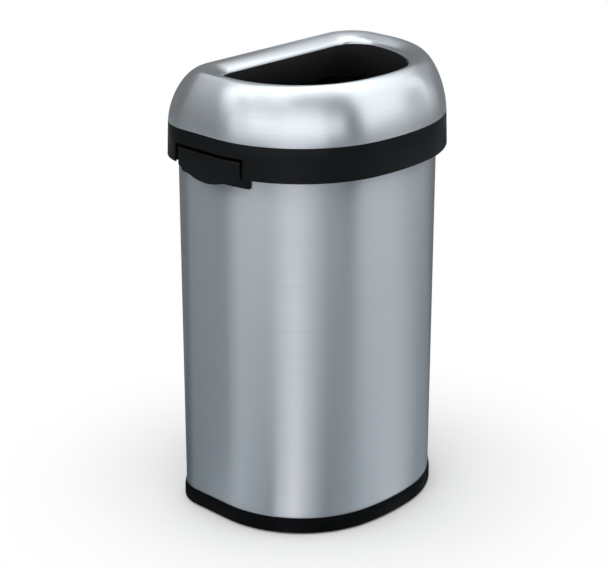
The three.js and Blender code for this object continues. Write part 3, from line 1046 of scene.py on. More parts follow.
@dataclass
class Shell:
    """The body's steel wrap, with a hem at the top, a flange at the bottom and a lap seam at the back."""

    bottom: float = 0.0140
    top: float = 0.6450
    sheet: float = 0.0009
    hem: float = 0.0019
    hem_height: float = 0.008
    fold_share: float = 0.96
    flange: float = 0.015
    bend: float = 0.0004
    seam_width: float = 0.009
    seam_proud: float = 0.0008
    seam_round: float = 0.0004
    seam_facets: int = 3
    seam_bottom: float = 0.0289
    seam_top: float = 0.6294

    def build(self, finishes: Finishes) -> None:
        """Builds the wrap and its seam.

        Args:
            finishes: the bin's finishes.
        """
        fold = self.hem / 2 * self.fold_share
        wrap = sweep("body_shell_wrap", [
            Corner(0, self.bottom, self.bend * 2),
            Corner(0, self.top, fold),
            Corner(-self.hem, self.top, fold),
            Corner(-self.hem, self.top - self.hem_height),
            Corner(-self.sheet, self.top - self.hem_height),
            Corner(-self.sheet, self.bottom + self.sheet, self.bend),
            Corner(-self.flange, self.bottom + self.sheet),
            Corner(-self.flange, self.bottom),
        ]).finish()
        for piece in (wrap, self.seam()):
            commit(piece, finishes.body_steel, Body.BIN, Slot.BRUSHED_STEEL, "body_shell")

    def seam(self) -> bpy.types.Object:
        """Models the lapped edge down the middle of the back.

        Returns:
            The seam's strip.
        """
        piece = Workpiece("body_shell_seam")
        middle = (self.seam_bottom + self.seam_top) / 2
        depth = self.seam_proud + self.sheet / 2
        centre = Vector((0.0, BODY_PLAN.back + self.seam_proud - depth / 2, middle))
        size = (self.seam_width, depth, self.seam_top - self.seam_bottom)
        bpy.ops.mesh.primitive_cube_add(size=1.0, location=centre, scale=size)
        face_back = centre.y + depth / 2 - WELD
        piece.pick_edges(lambda edge: all(vertex.co.y > face_back for vertex in edge.verts))
        piece.bevel(self.seam_round, self.seam_facets)
        return piece.finish()


@dataclass
class BaseRing:
    """The black plinth round the foot of the shell, with a ledge inside that carries the body."""

    bottom: float = 0.002
    top: float = 0.0286
    wall: float = 0.003
    bulge: float = 0.0028
    shoulder: float = 0.009
    shoulder_round: float = 0.0045
    edge: float = 0.001
    gap: float = 0.0003
    rounding: float = 0.0024
    ledge_top: float = 0.0137
    ledge_thickness: float = 0.003
    ledge_width: float = 0.026
    lip_wall: float = 0.0024
    lip_drop: float = 0.0036
    soft: float = 0.0005
    rib_wall: float = 0.002
    rib_bottom: float = 0.005
    rib_shares: tuple[float, ...] = (0.03, 0.18, 0.33, 0.5, 0.7, 0.88, 0.98)
    bite: float = 0.0003
    screw_shares: tuple[float, ...] = (0.25, 0.6, 0.94)
    screw_inset: float = 0.008
    boss_radius: float = 0.0041
    boss_wall: float = 0.0019
    boss_sides: int = 32

    @property
    def inside(self) -> float:
        """The reach of the skirt's inner face."""
        return self.bulge - self.wall

    @property
    def under(self) -> float:
        """The height of the ledge's underside."""
        return self.ledge_top - self.ledge_thickness

    def build(self, finishes: Finishes) -> None:
        """Builds the ring, with the gussets and screw bosses under its ledge.

        Args:
            finishes: the bin's finishes.
        """
        for piece in (self.moulding(), self.gussets(), self.bosses()):
            commit(piece, finishes.base_plastic, Body.BIN, Slot.BLACK_PLASTIC, "base_ring")

    def moulding(self) -> bpy.types.Object:
        """Models the plinth and its ledge as one hoop.

        Returns:
            The plinth.
        """
        inside, under = self.inside, self.under
        lip = -self.ledge_width - self.lip_wall
        return sweep("base_ring_moulding", [
            Corner(self.bulge, self.bottom, self.rounding, 5),
            Corner(self.bulge, self.top - self.shoulder, self.shoulder_round, 6),
            Corner(self.gap + self.edge, self.top, self.soft, 3),
            Corner(self.gap, self.top, self.gap, 2),
            Corner(self.gap, self.ledge_top),
            Corner(lip, self.ledge_top, self.soft, 3),
            Corner(lip, under - self.lip_drop, self.soft, 3),
            Corner(-self.ledge_width, under - self.lip_drop, self.soft, 3),
            Corner(-self.ledge_width, under),
            Corner(inside, under),
            Corner(inside, self.bottom),
        ]).finish()

    def gussets(self) -> bpy.types.Object:
        """Models the gussets, each a section that is filled and extruded, and mirrors them.

        Returns:
            The gussets of both sides.
        """
        outer, inner, top = self.inside + self.bite, -self.ledge_width - self.bite, self.under + self.bite
        section = [
            Corner(inner, self.rib_bottom + self.lip_drop),
            Corner(outer, self.rib_bottom),
            Corner(outer, top),
            Corner(inner, top),
        ]
        piece = Workpiece("base_ring_gussets")
        for share in self.rib_shares:
            place = BODY_PLAN.place(share * BODY_PLAN.half_length - self.rib_wall / 2)
            piece.section(section, place)
            bpy.ops.mesh.edge_face_add()
            piece.pull(UP.cross(place.outward) * self.rib_wall)
        piece.mirror()
        piece.settle()
        return piece.finish()

    def bosses(self) -> bpy.types.Object:
        """Models the screw bosses: short posts, bored from below, and mirrors them.

        Returns:
            The bosses of both sides.
        """
        height = self.under + self.bite - self.rib_bottom
        piece = Workpiece("base_ring_bosses")
        for share in self.screw_shares:
            place = BODY_PLAN.place(share * BODY_PLAN.half_length)
            centre = place.at(-self.screw_inset, self.rib_bottom + height / 2)
            bpy.ops.mesh.select_all(action="DESELECT")
            bpy.ops.mesh.primitive_cylinder_add(
                vertices=self.boss_sides, radius=self.boss_radius, depth=height, location=centre,
            )

            def mouth(face: bmesh.types.BMFace) -> bool:
                """True for the lower end of this post."""
                off_mouth = face.calc_center_median() + UP * (height / 2) - centre
                return face.normal.z < -FACES_THAT_WAY and off_mouth.length < self.boss_wall

            piece.pick_faces(mouth)
            bpy.ops.mesh.inset(thickness=self.boss_wall)
            piece.pull(UP * (height - self.bite))
        piece.mirror()
        piece.settle()
        return piece.finish()


@dataclass
class Collar:
    """The moulded channel over the top edge of the shell, which the lid sits on."""

    top: float = 0.6487
    wall: float = 0.0025
    roof: float = 0.0034
    outer_height: float = 0.019
    inner_height: float = 0.021
    flange_drop: float = 0.0087
    flange_thickness: float = 0.0025
    flange_reach: float = 0.01181
    gap: float = 0.0003
    hem: float = 0.0019
    soft: float = 0.0006

    def build(self, finishes: Finishes) -> None:
        """Builds the collar.

        Args:
            finishes: the bin's finishes.
        """
        outside = self.gap + self.wall
        slot_inside = -self.hem - self.gap
        inside = slot_inside - self.wall
        flange_top = self.top - self.flange_drop
        shell_top = self.top - self.roof
        ring = sweep("collar_channel", [
            Corner(self.gap, self.top - self.outer_height, self.soft, 3),
            Corner(outside, self.top - self.outer_height, self.soft, 3),
            Corner(outside, flange_top - self.flange_thickness),
            Corner(self.flange_reach, flange_top - self.flange_thickness, self.soft, 3),
            Corner(self.flange_reach, flange_top, self.soft, 3),
            Corner(outside, flange_top),
            Corner(outside, self.top, self.soft, 3),
            Corner(inside, self.top, self.soft * 2, 4),
            Corner(inside, self.top - self.inner_height, self.soft, 3),
            Corner(slot_inside, self.top - self.inner_height, self.soft, 3),
            Corner(slot_inside, shell_top),
            Corner(self.gap, shell_top),
        ]).finish()
        commit(ring, finishes.plastic, Body.BIN, Slot.BLACK_PLASTIC, "collar")


@dataclass
class LidDome:
    """The lid's steel pressing: it rises from the band to a crest and rolls over into the opening."""

    base: float = 0.6523
    crest: float = 0.738
    opening: float = 0.724
    sheet: float = 0.001
    foot_reach: float = 0.0149
    roundness: float = 1.62
    flange: float = 0.018
    bend: float = 0.0008
    foot_lift: float = 0.0004
    foot_lift_steps: int = 2
    dome_steps: int = 40
    roll_steps: int = 14

    def rings(self) -> list[Ring]:
        """The rings of the outer skin, from the flange's inner edge over the crest into the opening.

        Returns:
            The rings in order.
        """
        foot = BODY_PLAN.grown(self.foot_reach)
        rings = [
            Ring(foot.grown(-self.flange), self.base),
            Ring(foot.grown(-self.flange / 2), self.base),
            Ring(foot.grown(-self.bend), self.base),
        ]
        for i in range(self.dome_steps + 1):
            angle = i / self.dome_steps * QUARTER
            rise = math.sin(angle) ** (2 / self.roundness)
            run = 1 - max(0.0, math.cos(angle)) ** (2 / self.roundness)
            lift = self.foot_lift * max(0.0, 1 - i / self.foot_lift_steps)
            height = self.base + (self.crest - self.base) * rise + lift
            rings.append(Ring(foot.mixed(CREST_PLAN, run), height))
        for i in range(1, self.roll_steps + 1):
            angle = i / self.roll_steps * QUARTER
            plan = CREST_PLAN.mixed(OPENING_PLAN, math.sin(angle))
            rings.append(Ring(plan, self.opening + (self.crest - self.opening) * math.cos(angle)))
        return rings

    def build(self, finishes: Finishes) -> None:
        """Builds the pressing.

        Args:
            finishes: the bin's finishes.
        """
        piece = loft("lid_dome_pressing", self.rings())
        piece.face_towards(Vector((0.0, CREST_PLAN.front, self.crest)), UP)
        piece.thicken(self.sheet)
        dome = piece.finish(sharp_degrees=40.0)
        commit(dome, finishes.painted_bright_dome_steel, Body.LID, Slot.BRUSHED_STEEL, "lid_dome")


@dataclass
class Throat:
    """The black lining that widens from the opening down to the band's shelf."""

    top: float = 0.7237
    base: float = 0.6536
    wall: float = 0.0022
    flange_reach: float = 0.0124
    overlap: float = 0.004
    steps: int = 24

    def build(self, finishes: Finishes) -> None:
        """Builds the lining.

        Args:
            finishes: the bin's finishes.
        """
        foot = BODY_PLAN.grown(-self.overlap)
        rings = []
        for i in range(self.steps + 1):
            angle = i / self.steps * QUARTER
            plan = OPENING_PLAN.mixed(foot, 1 - math.cos(angle))
            rings.append(Ring(plan, self.top + (self.base - self.top) * math.sin(angle)))
        rings += [Ring(BODY_PLAN.grown(self.flange_reach * share), self.base) for share in (0.5, 1.0)]
        piece = loft("throat_lining", rings)
        piece.face_towards(Vector((0.0, OPENING_PLAN.front, self.top)), Vector((0.0, 1.0, 0.0)))
        piece.thicken(self.wall)
        commit(piece.finish(), finishes.lining, Body.LID, Slot.BLACK_PLASTIC, "throat")


@dataclass
class GripPlaces:
    """Where the grips stand along the outline, measured from the middle of the front."""

    centre: float = 0.039
    half_length: float = 0.0625

    @property
    def middle(self) -> float:
        """The distance of a grip's middle."""
        runs = BODY_PLAN.runs()
        return runs[0].length + runs[1].length + self.centre - BODY_PLAN.side_centre.y

    def bow(self, distance: float) -> float:
        """How far a grip has bowed at a distance: nothing at its ends and everything in its middle."""
        return max(0.0, math.cos((distance - self.middle) / self.half_length * QUARTER))


@dataclass
class LidBand:
    """The lid's black skirt under the dome, with a notch over each grip."""

    bottom: float = 0.598
    top: float = 0.652
    bottom_reach: float = 0.0172
    top_reach: float = 0.0152
    wall: float = 0.003
    edge: float = 0.0008
    shelf: float = 0.003
    shelf_overlap: float = 0.007
    notch_height: float = 0.031
    notch_gap: float = 0.0048
    cut_reach: float = 0.03
    cut_tolerance: float = 2e-5
    soft: float = 0.0006
    places: GripPlaces = field(default_factory=GripPlaces)

    def reach(self, height: float) -> float:
        """How far out the band's face stands at a height."""
        share = (height - self.bottom) / (self.top - self.bottom)
        return self.bottom_reach * (1 - share) + self.top_reach * share

    def build(self, finishes: Finishes) -> None:
        """Builds the band.

        Args:
            finishes: the bin's finishes.
        """
        seat = self.top - self.shelf
        notch_top = self.bottom + self.notch_height
        inner_seat = self.reach(seat) - self.wall
        inner_bottom = self.bottom_reach - self.wall
        inner_share = (seat - notch_top) / (seat - self.bottom)
        piece = sweep("lid_band_skirt", [
            Corner(inner_bottom, self.bottom, self.soft, 3),
            Corner(self.bottom_reach, self.bottom, self.edge, 4),
            Corner(self.reach(notch_top), notch_top),
            Corner(self.top_reach, self.top, self.soft, 3),
            Corner(-self.shelf_overlap, self.top, self.soft, 3),
            Corner(-self.shelf_overlap, seat, self.soft, 3),
            Corner(inner_seat, seat),
            Corner(inner_seat + (inner_bottom - inner_seat) * inner_share, notch_top),
        ])
        self.notch(piece, notch_top)
        commit(piece.finish(), finishes.plastic, Body.LID, Slot.BLACK_PLASTIC, "lid_band")

    def notch(self, piece: Workpiece, notch_top: float) -> None:
        """Cuts the band open over each grip and closes the cut with walls of its own.

        Args:
            piece: the whole band.
            notch_top: the height of the notch's roof.
        """
        half = self.places.half_length + self.notch_gap
        ends = [BODY_PLAN.place(self.places.middle + sign * half) for sign in (-1, 1)]
        piece.enter()
        for side in Side:
            for place in ends:
                self.slice(piece, place, side)
        for side in Side:
            self.open_up(piece, ends, side, notch_top)
        piece.settle()

    def slice(self, piece: Workpiece, place: Place, side: Side) -> None:
        """Cuts a ring of edges across the band at a place, on one side of the bin only.

        Args:
            piece: the band.
            place: where the cut stands, on +X.
            side: the side to cut.
        """
        along, spot = to_side(place.onward, side), to_side(place.spot, side)

        def near(face: bmesh.types.BMFace) -> bool:
            """True for a face on this side, within reach of the cut."""
            middle = face.calc_center_median()
            return middle.x * side.value > 0 and abs((middle - spot).dot(along)) < self.cut_reach

        piece.pick_faces(near)
        bpy.ops.mesh.bisect(plane_co=tuple(spot), plane_no=tuple(along))

    def open_up(self, piece: Workpiece, ends: Sequence[Place], side: Side, notch_top: float) -> None:
        """Takes out the faces of one notch and walls its edge.

        Args:
            piece: the band, cut across at both ends of the notch.
            ends: the two ends on +X.
            side: the side to open.
            notch_top: the height of the notch's roof.
        """

        def offsets(spot: Vector) -> tuple[float, float]:
            """How far a point lies past the notch's start and before its end."""
            start, end = ((to_side(spot, side) - place.spot).dot(place.onward) for place in ends)
            return start, -end

        def within(face: bmesh.types.BMFace) -> bool:
            """True for a face of the skirt inside the notch."""
            middle = face.calc_center_median()
            return middle.x * side.value > 0 and middle.z < notch_top and min(offsets(middle)) > 0

        piece.pick_faces(within)
        bpy.ops.mesh.delete(type="FACE")
        slack = self.cut_tolerance

        def at_roof(edge: bmesh.types.BMEdge) -> bool:
            """True for an open edge along the notch's roof."""
            return edge.is_boundary and all(abs(v.co.z - notch_top) < slack for v in edge.verts)

        piece.pick_edges(at_roof)
        bpy.ops.mesh.bridge_edge_loops()
        for end in (0, 1):

            def at_end(edge: bmesh.types.BMEdge) -> bool:
                """True for an open edge of the cut across this end."""
                return edge.is_boundary and all(abs(offsets(v.co)[end]) < slack for v in edge.verts)

            piece.pick_edges(at_end)
            bpy.ops.mesh.edge_face_add()


@dataclass
class Grip:
    """A side grip: a plate on the shell with upright cheeks, and a bowed finger pull in front of it."""

    plate_reach: float = 0.011
    plate_thickness: float = 0.0024
    plate_bottom: float = 0.579
    plate_top: float = 0.6294
    plate_corner: float = 0.005
    plate_soft: float = 0.0008
    cheek_bottom: float = 0.599
    cheek_top: float = 0.628
    cheek_reach: float = 0.0122
    gap: float = 0.0003
    top: float = 0.6238
    ceiling: float = 0.620
    wall: float = 0.003
    end_wall: float = 0.013
    back_skin: float = 0.0006
    swell: float = 0.003
    end_drop: float = 0.002
    bow: float = 0.0165
    end_round: float = 0.003
    edge_round: float = 0.001
    top_round: float = 0.0016
    stations: int = 44
    plate_stations: int = 24
    corner_steps: int = 6
    cheek_steps: int = 2
    straight_past_middle: float = 0.05
    sharp_degrees: float = 30.0
    band: LidBand = field(default_factory=LidBand)
    places: GripPlaces = field(default_factory=GripPlaces)

    @property
    def front(self) -> float:
        """The reach of the plate's front face."""
        return self.gap + self.plate_thickness

    @property
    def plate_straight(self) -> float:
        """Half the length of the plate between its round corners."""
        return self.places.half_length + self.plate_reach - self.plate_corner

    def build(self, finishes: Finishes) -> None:
        """Builds both grips: the right one is modelled and the left one is its mirror image.

        Args:
            finishes: the bin's finishes.
        """
        for label, model in (("plate", self.plate), ("pull", self.finger_pull)):
            right = model(f"right_grip_{label}")
            left = self.mirrored(right, f"left_grip_{label}")
            for side, obj in ((Side.RIGHT, right), (Side.LEFT, left)):
                commit(obj, finishes.plastic, Body.BIN, Slot.BLACK_PLASTIC, f"{side.label}_grip")

    @staticmethod
    def mirrored(obj: bpy.types.Object, name: str) -> bpy.types.Object:
        """Copies a piece to the other side of the bin, with its own mesh.

        Args:
            obj: the finished piece.
            name: the copy's name.

        Returns:
            The copy.
        """
        select_only(obj)
        bpy.ops.object.duplicate()
        copy = bpy.context.object
        copy.name = name
        copy.data.name = name
        bpy.ops.object.mode_set(mode="EDIT")
        bpy.ops.mesh.select_all(action="SELECT")
        bpy.ops.transform.resize(value=(-1.0, 1.0, 1.0), center_override=(0.0, 0.0, 0.0))
        bpy.ops.mesh.normals_make_consistent(inside=False)
        bpy.ops.object.mode_set(mode="OBJECT")
        return copy

    def along(self, spot: Vector) -> float:
        """How far a point of the right grip lies along the side from the grip's middle.

        Args:
            spot: the point.

        Returns:
            The distance, less than 0 in front of the middle.
        """
        start = BODY_PLAN.place(self.places.middle).spot.y
        corner = BODY_PLAN.corner_centre
        if spot.y <= corner.y:
            return spot.y - start
        turned = math.atan2(spot.y - corner.y, spot.x - corner.x)
        return corner.y - start + BODY_PLAN.corner_radius * turned

    def plate(self, name: str) -> bpy.types.Object:
        """Models the back plate, with round lower corners and a cheek near each end.

        Args:
            name: the piece's name.

        Returns:
            The plate.
        """
        middle, straight = self.places.middle, self.plate_straight
        steps = [straight * (2 * i / self.plate_stations - 1) for i in range(self.plate_stations + 1)]
        for i in range(1, self.corner_steps + 1):
            step = straight + self.plate_corner * math.sin(i / self.corner_steps * QUARTER)
            steps = [-step, *steps, step]
        piece = Workpiece(name)
        strips = []
        for step in steps:
            past = min(1.0, max(0.0, abs(step) - straight) / self.plate_corner)
            low = self.plate_bottom + self.plate_corner * (1 - math.sqrt(1 - past * past))
            strips.append(piece.section([
                Corner(self.gap, low),
                Corner(self.front, low, self.plate_soft, 3),
                Corner(self.front, self.cheek_bottom),
                Corner(self.front, self.cheek_top),
                Corner(self.front, self.plate_top, self.plate_soft, 3),
                Corner(self.gap, self.plate_top),
            ], BODY_PLAN.place(middle + step), closed=False))
        self.close(piece, strips)
        self.raise_cheeks(piece)
        return piece.finish(self.sharp_degrees)

    def raise_cheeks(self, piece: Workpiece) -> None:
        """Extrudes the two cheeks out of the plate's face, just behind the ends of the band's notch.

        Args:
            piece: the plate.
        """
        reach = self.plate_corner * math.sin(self.cheek_steps / self.corner_steps * QUARTER)
        piece.enter()
        for end in (-1, 1):
            outward = BODY_PLAN.place(self.places.middle + end * (self.plate_straight + reach / 2)).outward

            def on_cheek(face: bmesh.types.BMFace) -> bool:
                """True for a face that the cheek grows from.

                Args:
                    face: the face.

                Returns:
                    Whether it is one.
                """
                spot = face.calc_center_median()
                past = self.along(spot) * end - self.plate_straight
                upright = self.cheek_bottom < spot.z < self.cheek_top
                return upright and 0 < past < reach and face.normal.dot(outward) > FACES_THAT_WAY

            piece.pick_faces(on_cheek)
            piece.pull(outward * (self.cheek_reach - self.front))
        piece.settle()

    def finger_pull(self, name: str) -> bpy.types.Object:
        """Models the pull: a bowed block with round ends, hollowed from below.

        Args:
            name: the piece's name.

        Returns:
            The pull.
        """
        piece = Workpiece(name)
        strips = []
        half = self.places.half_length
        for i in range(self.stations + 1):
            distance = self.places.middle - half * math.cos(i / self.stations * math.pi)
            past = max(0.0, abs(distance - self.places.middle) - (half - self.end_round)) / self.end_round
            pinch = self.end_round * (1 - math.sqrt(max(0.0, 1 - past * past)))
            low = self.band.bottom - self.end_drop - self.bow * self.places.bow(distance)
            swell = self.swell * self.places.bow(distance) - pinch
            face_low = self.band.reach(low) + swell
            strips.append(piece.section([
                Corner(self.front, low),
                Corner(self.front + self.back_skin, low),
                Corner(face_low - self.wall, low),
                Corner(face_low, low, self.edge_round, 3),
                Corner(self.band.reach(self.top) + swell, self.top, self.top_round, 4),
                Corner(self.front, self.top),
            ], BODY_PLAN.place(distance), closed=False))
        self.close(piece, strips)
        self.hollow(piece)
        return piece.finish(self.sharp_degrees)

    def hollow(self, piece: Workpiece) -> None:
        """Sinks the underside of the pull, so that fingers get in behind its front wall.

        Args:
            piece: the pull.
        """
        low_reach = self.front + self.back_skin
        high_reach = self.band.bottom_reach - self.wall + self.swell
        half_hollow = self.places.half_length - self.end_wall

        def beneath(face: bmesh.types.BMFace) -> bool:
            """True for a face of the underside between the walls.

            Args:
                face: the face.

            Returns:
                Whether it is one.
            """
            spot = face.calc_center_median()
            on_straight = self.along(spot) < self.straight_past_middle
            reach = spot.x - BODY_PLAN.half_width if on_straight else (low_reach + high_reach) / 2
            inner = low_reach < reach < high_reach and abs(self.along(spot)) < half_hollow
            return inner and face.normal.z < -FACES_THAT_WAY and spot.z < self.band.bottom

        piece.enter()
        piece.pick_faces(beneath)
        piece.pull(UP * self.wall)
        bpy.ops.transform.resize(value=(1.0, 1.0, 0.0), center_override=(0.0, 0.0, self.ceiling))
        piece.settle()

    def close(self, piece: Workpiece, strips: Sequence[range]) -> None:
        """Bridges a row of open sections, and closes both ends and the back.

        Args:
            piece: the piece that holds the sections.
            strips: the sections' vertices, in order.
        """
        for one, other in zip(strips, strips[1:]):
            piece.bridge(one, other)
        for end in (strips[0], strips[-1]):
            piece.pick_vertices(end)
            bpy.ops.mesh.edge_face_add()
        piece.bridge({strip[0] for strip in strips}, {strip[-1] for strip in strips})
        piece.settle()


# Stage.


def set_up(name: str, data: bpy.types.ID, spot: Vector, way: Vector) -> bpy.types.Object:
    """Sets up a lamp or a camera.

    Args:
        name: its name.
        data: the lamp or the camera itself.
        spot: where it stands.
        way: where it looks.

    Returns:
        Its object.
    """
    obj = bpy.data.objects.new(name, data)
    bpy.context.scene.collection.objects.link(obj)
    obj.location = spot
    obj.rotation_mode = "QUATERNION"
    obj.rotation_quaternion = way.to_track_quat("-Z", "Y")
    return obj


@dataclass
class Softbox:
    """A large soft lamp that faces the bin."""

    name: str
    azimuth: float
    elevation: float
    distance: float
    width: float
    height: float
    radiance: float
    power_per_area: float = 4.0

    def build(self) -> None:
        """Hangs the lamp."""
        lamp = bpy.data.lights.new(self.name, "AREA")
        lamp.shape = "RECTANGLE"
        lamp.size, lamp.size_y = self.width, self.height
        lamp.energy = self.radiance * self.power_per_area * self.width * self.height
        way = direction(self.azimuth, self.elevation)
        obj = set_up(self.name, lamp, STAGE_CENTRE + way * self.distance, -way)
        obj.visible_camera = False
        obj.visible_glossy = False


def stage_reflector(obj: bpy.types.Object, material: bpy.types.Material) -> None:
    """Puts a glowing sheet on the stage, to be seen in reflections alone.

    Args:
        obj: the sheet.
        material: its glow.
    """
    dress(obj, material)
    for sight in ("camera", "diffuse", "shadow", "transmission", "volume_scatter"):
        setattr(obj, f"visible_{sight}", False)


@dataclass
class Panel:
    """A soft reflector: a patch of a wide tent round the bin, seen only in reflections."""

    name: str
    start: float
    end: float
    low: float
    high: float
    shade: float
    radius: float = 2.5
    tint: Colour = (0.93, 0.97, 1.0)
    rise_steps: int = 8
    turn_steps: int = 24

    def build(self) -> None:
        """Builds the patch from an arc, spun round the bin."""
        piece = Workpiece(self.name)
        piece.dot(STAGE_CENTRE + direction(self.start, self.low) * self.radius)
        arc_axis = direction(self.start).cross(UP)
        piece.turn(STAGE_CENTRE, arc_axis, math.radians(self.high - self.low), self.rise_steps)
        bpy.ops.mesh.select_all(action="SELECT")
        piece.turn(STAGE_CENTRE, UP, math.radians(self.end - self.start), self.turn_steps)
        material, sheet = new_material(self.name)
        sheet.show(sheet.add("Emission", {"Color": solid(self.tint), "Strength": self.shade}))
        stage_reflector(piece.finish(), material)


@dataclass(frozen=True)
class Patch:
    """One panel of a row: the azimuth where it ends, and how light it is."""

    name: str
    end: float
    shade: float


@dataclass(frozen=True)
class PanelRow:
    """A row of panels side by side, all between the same two elevations."""

    name: str
    low: float
    high: float
    start: float
    patches: Sequence[Patch]

    def build(self) -> None:
        """Builds the row's panels, each from where the last one ends."""
        start = self.start
        for patch in self.patches:
            name = f"{patch.name}_{self.name}_panel"
            Panel(name, start, patch.end, self.low, self.high, patch.shade).build()
            start = patch.end


@dataclass(frozen=True)
class Stripe:
    """How light the floor looks in the part of the body that faces one way."""

    facing: float
    shade: float


@dataclass
class FloorFan:
    """A shaded sheet on the floor, seen only in reflections: it gives the steel its upright stripes."""

    name: str
    stripes: Sequence[Stripe]
    reach: float = 2.4
    setback: float = 0.03
    dark_tint: Colour = (0.68, 0.89, 1.0)
    tint: Colour = (0.985, 0.972, 1.0)

    def build(self, eye: Vector) -> None:
        """Builds the sheet from one line for each stripe, along which the body mirrors the floor.

        Args:
            eye: where the camera stands.
        """
        piece = Workpiece(self.name)
        lines, shades = [], []
        for stripe in self.stripes:
            place = BODY_PLAN.facing(math.radians(stripe.facing))
            sight = place.spot - Vector((eye.x, eye.y, 0.0))
            way = sight.reflect(place.outward).normalized()
            first = len(piece.mesh.verts)
            piece.dot(place.spot - way * self.setback + UP * MM)
            piece.pull(way * self.setback)
            piece.pull(way * self.reach)
            lines.append(range(first, len(piece.mesh.verts)))
            shades += [stripe.shade] * len(lines[-1])
            if len(lines) > 1:
                piece.bridge(lines[-2], lines[-1])
        fan = piece.finish()
        layer = fan.data.attributes.new(STRIPE_SHADE, "FLOAT", "POINT")
        layer.data.foreach_set("value", shades)
        material, sheet = new_material(self.name)
        shade = sheet.add("Attribute", attribute_name=STRIPE_SHADE).outputs["Fac"]
        colour = sheet.blend(shade, solid(self.dark_tint), solid(self.tint))
        sheet.show(sheet.add("Emission", {"Color": colour, "Strength": shade}))
        stage_reflector(fan, material)


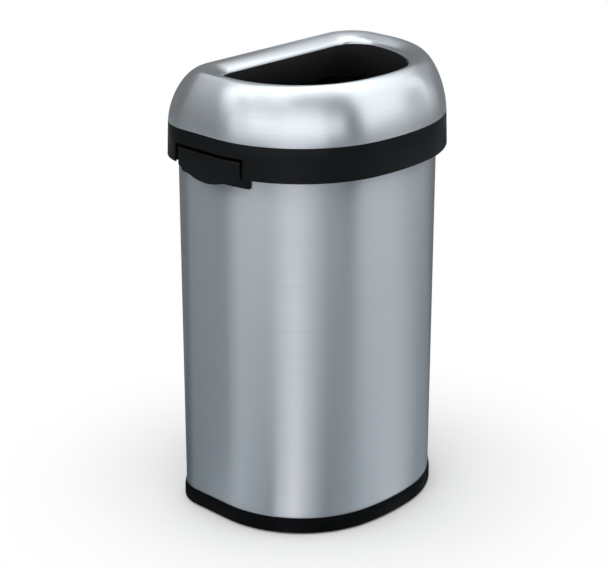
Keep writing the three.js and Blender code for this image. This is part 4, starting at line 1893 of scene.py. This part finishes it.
@dataclass
class Studio:
    """The floor, the light and the camera."""

    floor_half: float = 9.0
    azimuth: float = -46.21
    elevation: float = 21.29
    distance: float = 3.004
    pan: float = -0.0319
    aim_height: float = 0.3622
    lens: float = 108.88
    sensor: float = 36.0
    clip: Span = (0.05, 60.0)
    ambient: float = 0.75
    floor_shade: float = 0.92
    shadow_end: float = 0.16
    white_start: float = 0.6

    def build(self) -> None:
        """Sets the stage."""
        self.floor()
        self.world()
        self.lamps()
        self.reflectors()
        self.camera()
        bpy.context.scene.view_settings.view_transform = "Standard"

    def floor(self) -> None:
        """Lays the plain pale floor."""
        bpy.ops.object.select_all(action="DESELECT")
        bpy.ops.mesh.primitive_plane_add(size=2 * self.floor_half)
        floor = bpy.context.object
        floor.name = "floor"
        material, sheet = new_material("floor")
        spot = sheet.add("TexCoord").outputs["Object"]
        far = sheet.add("VectorMath", {0: spot}, operation="LENGTH").outputs["Value"]
        limits = {"Value": far, "From Min": self.shadow_end, "From Max": self.white_start}
        far = sheet.add("MapRange", limits, interpolation_type="SMOOTHSTEP")
        white = sheet.math("MULTIPLY", sheet.seen(), far.outputs["Result"])
        matt = sheet.add("BsdfDiffuse", {"Color": solid(WHITE, self.floor_shade)})
        glow = sheet.add("Emission", {"Color": solid(WHITE), "Strength": 1.0})
        shader = sheet.add("MixShader", {0: white, 1: matt.outputs[0], 2: glow.outputs[0]})
        sheet.show(shader)
        dress(floor, material)

    def world(self) -> None:
        """Makes the surroundings: white to the camera and in reflections, softer as light."""
        world = bpy.data.worlds.new("studio")
        bpy.context.scene.world = world
        world.use_nodes = True
        sheet = NodeSheet(world.node_tree)
        strength = sheet.mapped(sheet.seen(), self.ambient, 1.0)
        glow = sheet.add("Background", {"Color": solid(WHITE), "Strength": strength})
        sheet.add("OutputWorld", {"Surface": glow.outputs[0]})

    def lamps(self) -> None:
        """Hangs the soft lamps, which light all that is matt."""
        for lamp in (
            Softbox(
                "top_light", azimuth=0.0, elevation=90.0, distance=1.9,
                width=2.4, height=2.4, radiance=0.7,
            ),
            Softbox(
                "left_light", azimuth=-66.0, elevation=11.0, distance=2.1,
                width=2.8, height=1.1, radiance=0.6,
            ),
            Softbox(
                "left_back_light", azimuth=-120.0, elevation=38.0, distance=2.2,
                width=2.2, height=1.0, radiance=0.5,
            ),
            Softbox(
                "right_light", azimuth=38.0, elevation=27.0, distance=2.2,
                width=1.7, height=2.1, radiance=0.45,
            ),
        ):
            lamp.build()

    def reflectors(self) -> None:
        """Sets up the tent of panels and the shaded floor that the steel mirrors.

        A shade of 1 is white, and each shade is a whole number of tenths.
        """
        Panel("top_panel", -180.0, 180.0, 68.0, 90.0, 1.8).build()
        PanelRow("crown", 50.0, 68.0, -168.0, (
            Patch("left", -108.0, 1.4),
            Patch("key", -48.0, 1.7),
            Patch("front", 12.0, 1.1),
            Patch("right", 132.0, 1.8),
            Patch("back", 192.0, 0.2),
        )).build()
        PanelRow("high", 34.0, 50.0, -168.0, (
            Patch("back_left", -132.0, 0.7),
            Patch("left", -96.0, 1.9),
            Patch("key", -60.0, 1.1),
            Patch("front", 12.0, 0.2),
            Patch("right", 84.0, 1.4),
            Patch("back", 192.0, 0.8),
        )).build()
        PanelRow("upper", 20.0, 34.0, -150.0, (
            Patch("back_left", -132.0, 0.4),
            Patch("left", -114.0, 1.8),
            Patch("key", -60.0, 0.4),
            Patch("near", -24.0, 1.0),
            Patch("front", 12.0, 0.2),
            Patch("right", 66.0, 1.2),
            Patch("side", 102.0, 0.4),
            Patch("back", 210.0, 0.2),
        )).build()
        PanelRow("middle", 8.0, 20.0, -150.0, (
            Patch("back_left", -132.0, 0.1),
            Patch("left", -114.0, 0.6),
            Patch("left_key", -96.0, 1.1),
            Patch("key", -6.0, 1.8),
            Patch("front", 12.0, 0.1),
            Patch("right", 48.0, 1.4),
            Patch("side", 102.0, 0.4),
            Patch("back", 210.0, 0.2),
        )).build()
        PanelRow("low", -3.0, 8.0, -114.0, (
            Patch("key", -24.0, 1.2),
            Patch("front", 12.0, 0.2),
            Patch("right", 84.0, 0.6),
            Patch("back", 246.0, 0.2),
        )).build()
        Panel("foot_panel", -180.0, 180.0, -14.6, -3.0, 0.2).build()
        Panel("strip_light_panel", 65.0, 69.0, 6.0, 32.0, 2.2, radius=2.4).build()
        FloorFan("striped_floor", (
            Stripe(-160.0, 0.1),
            Stripe(-140.0, 0.1),
            Stripe(-125.0, 0.1),
            Stripe(-100.0, 0.3),
            Stripe(-85.5, 0.6),
            Stripe(-77.5, 0.4),
            Stripe(-69.0, 0.3),
            Stripe(-65.0, 0.2),
            Stripe(-59.0, 0.8),
            Stripe(-52.0, 1.1),
            Stripe(-45.0, 0.7),
            Stripe(-39.5, 0.4),
            Stripe(-34.0, 0.2),
            Stripe(-26.5, 0.4),
            Stripe(-16.0, 0.5),
            Stripe(-7.5, 0.6),
            Stripe(-0.5, 0.8),
            Stripe(8.0, 0.3),
            Stripe(17.5, 0.4),
            Stripe(26.0, 0.1),
            Stripe(42.0, 0.1),
            Stripe(60.0, 0.1),
            Stripe(80.0, 0.3),
        )).build(self.eye)

    @property
    def back(self) -> Vector:
        """The way from the bin to the camera."""
        return direction(self.azimuth, self.elevation)

    @property
    def eye(self) -> Vector:
        """Where the camera stands."""
        right = direction(self.azimuth + 90.0)
        return UP * self.aim_height + right * self.pan + self.back * self.distance

    def camera(self) -> None:
        """Sets up the camera at the photograph's view."""
        lens = bpy.data.cameras.new("camera")
        lens.lens = self.lens
        lens.sensor_width = self.sensor
        lens.sensor_fit = "HORIZONTAL"
        lens.clip_start, lens.clip_end = self.clip
        bpy.context.scene.camera = set_up("camera", lens, self.eye, -self.back)


def dress_frame(finishes: Finishes) -> None:
    """Gives the frame's nodes that still show, screws, feet and bottom plate, the finish of their kind.

    Args:
        finishes: the bin's finishes.
    """
    for name, node in frame["nodes"].items():
        if node.hide_render:
            continue
        if "screw" in name:
            dress(node, finishes.zinc)
        elif name.startswith("foot"):
            dress(node, finishes.rubber)
        else:
            dress(node, finishes.plain_steel)
        LOG.info("%s: frame node, dressed", name)


def main() -> None:
    """Builds the bin and its studio, and logs the pieces and the frame's nodes."""
    logging.basicConfig(level=logging.INFO, format="%(name)s: %(message)s")
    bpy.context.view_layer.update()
    finishes = Finishes()
    for part in (Shell(), BaseRing(), Collar(), LidDome(), Throat(), LidBand(), Grip()):
        LOG.info("building %s", type(part).__name__)
        part.build(finishes)
    dress_frame(finishes)
    Studio().build()


if __name__ == "__main__":
    main()
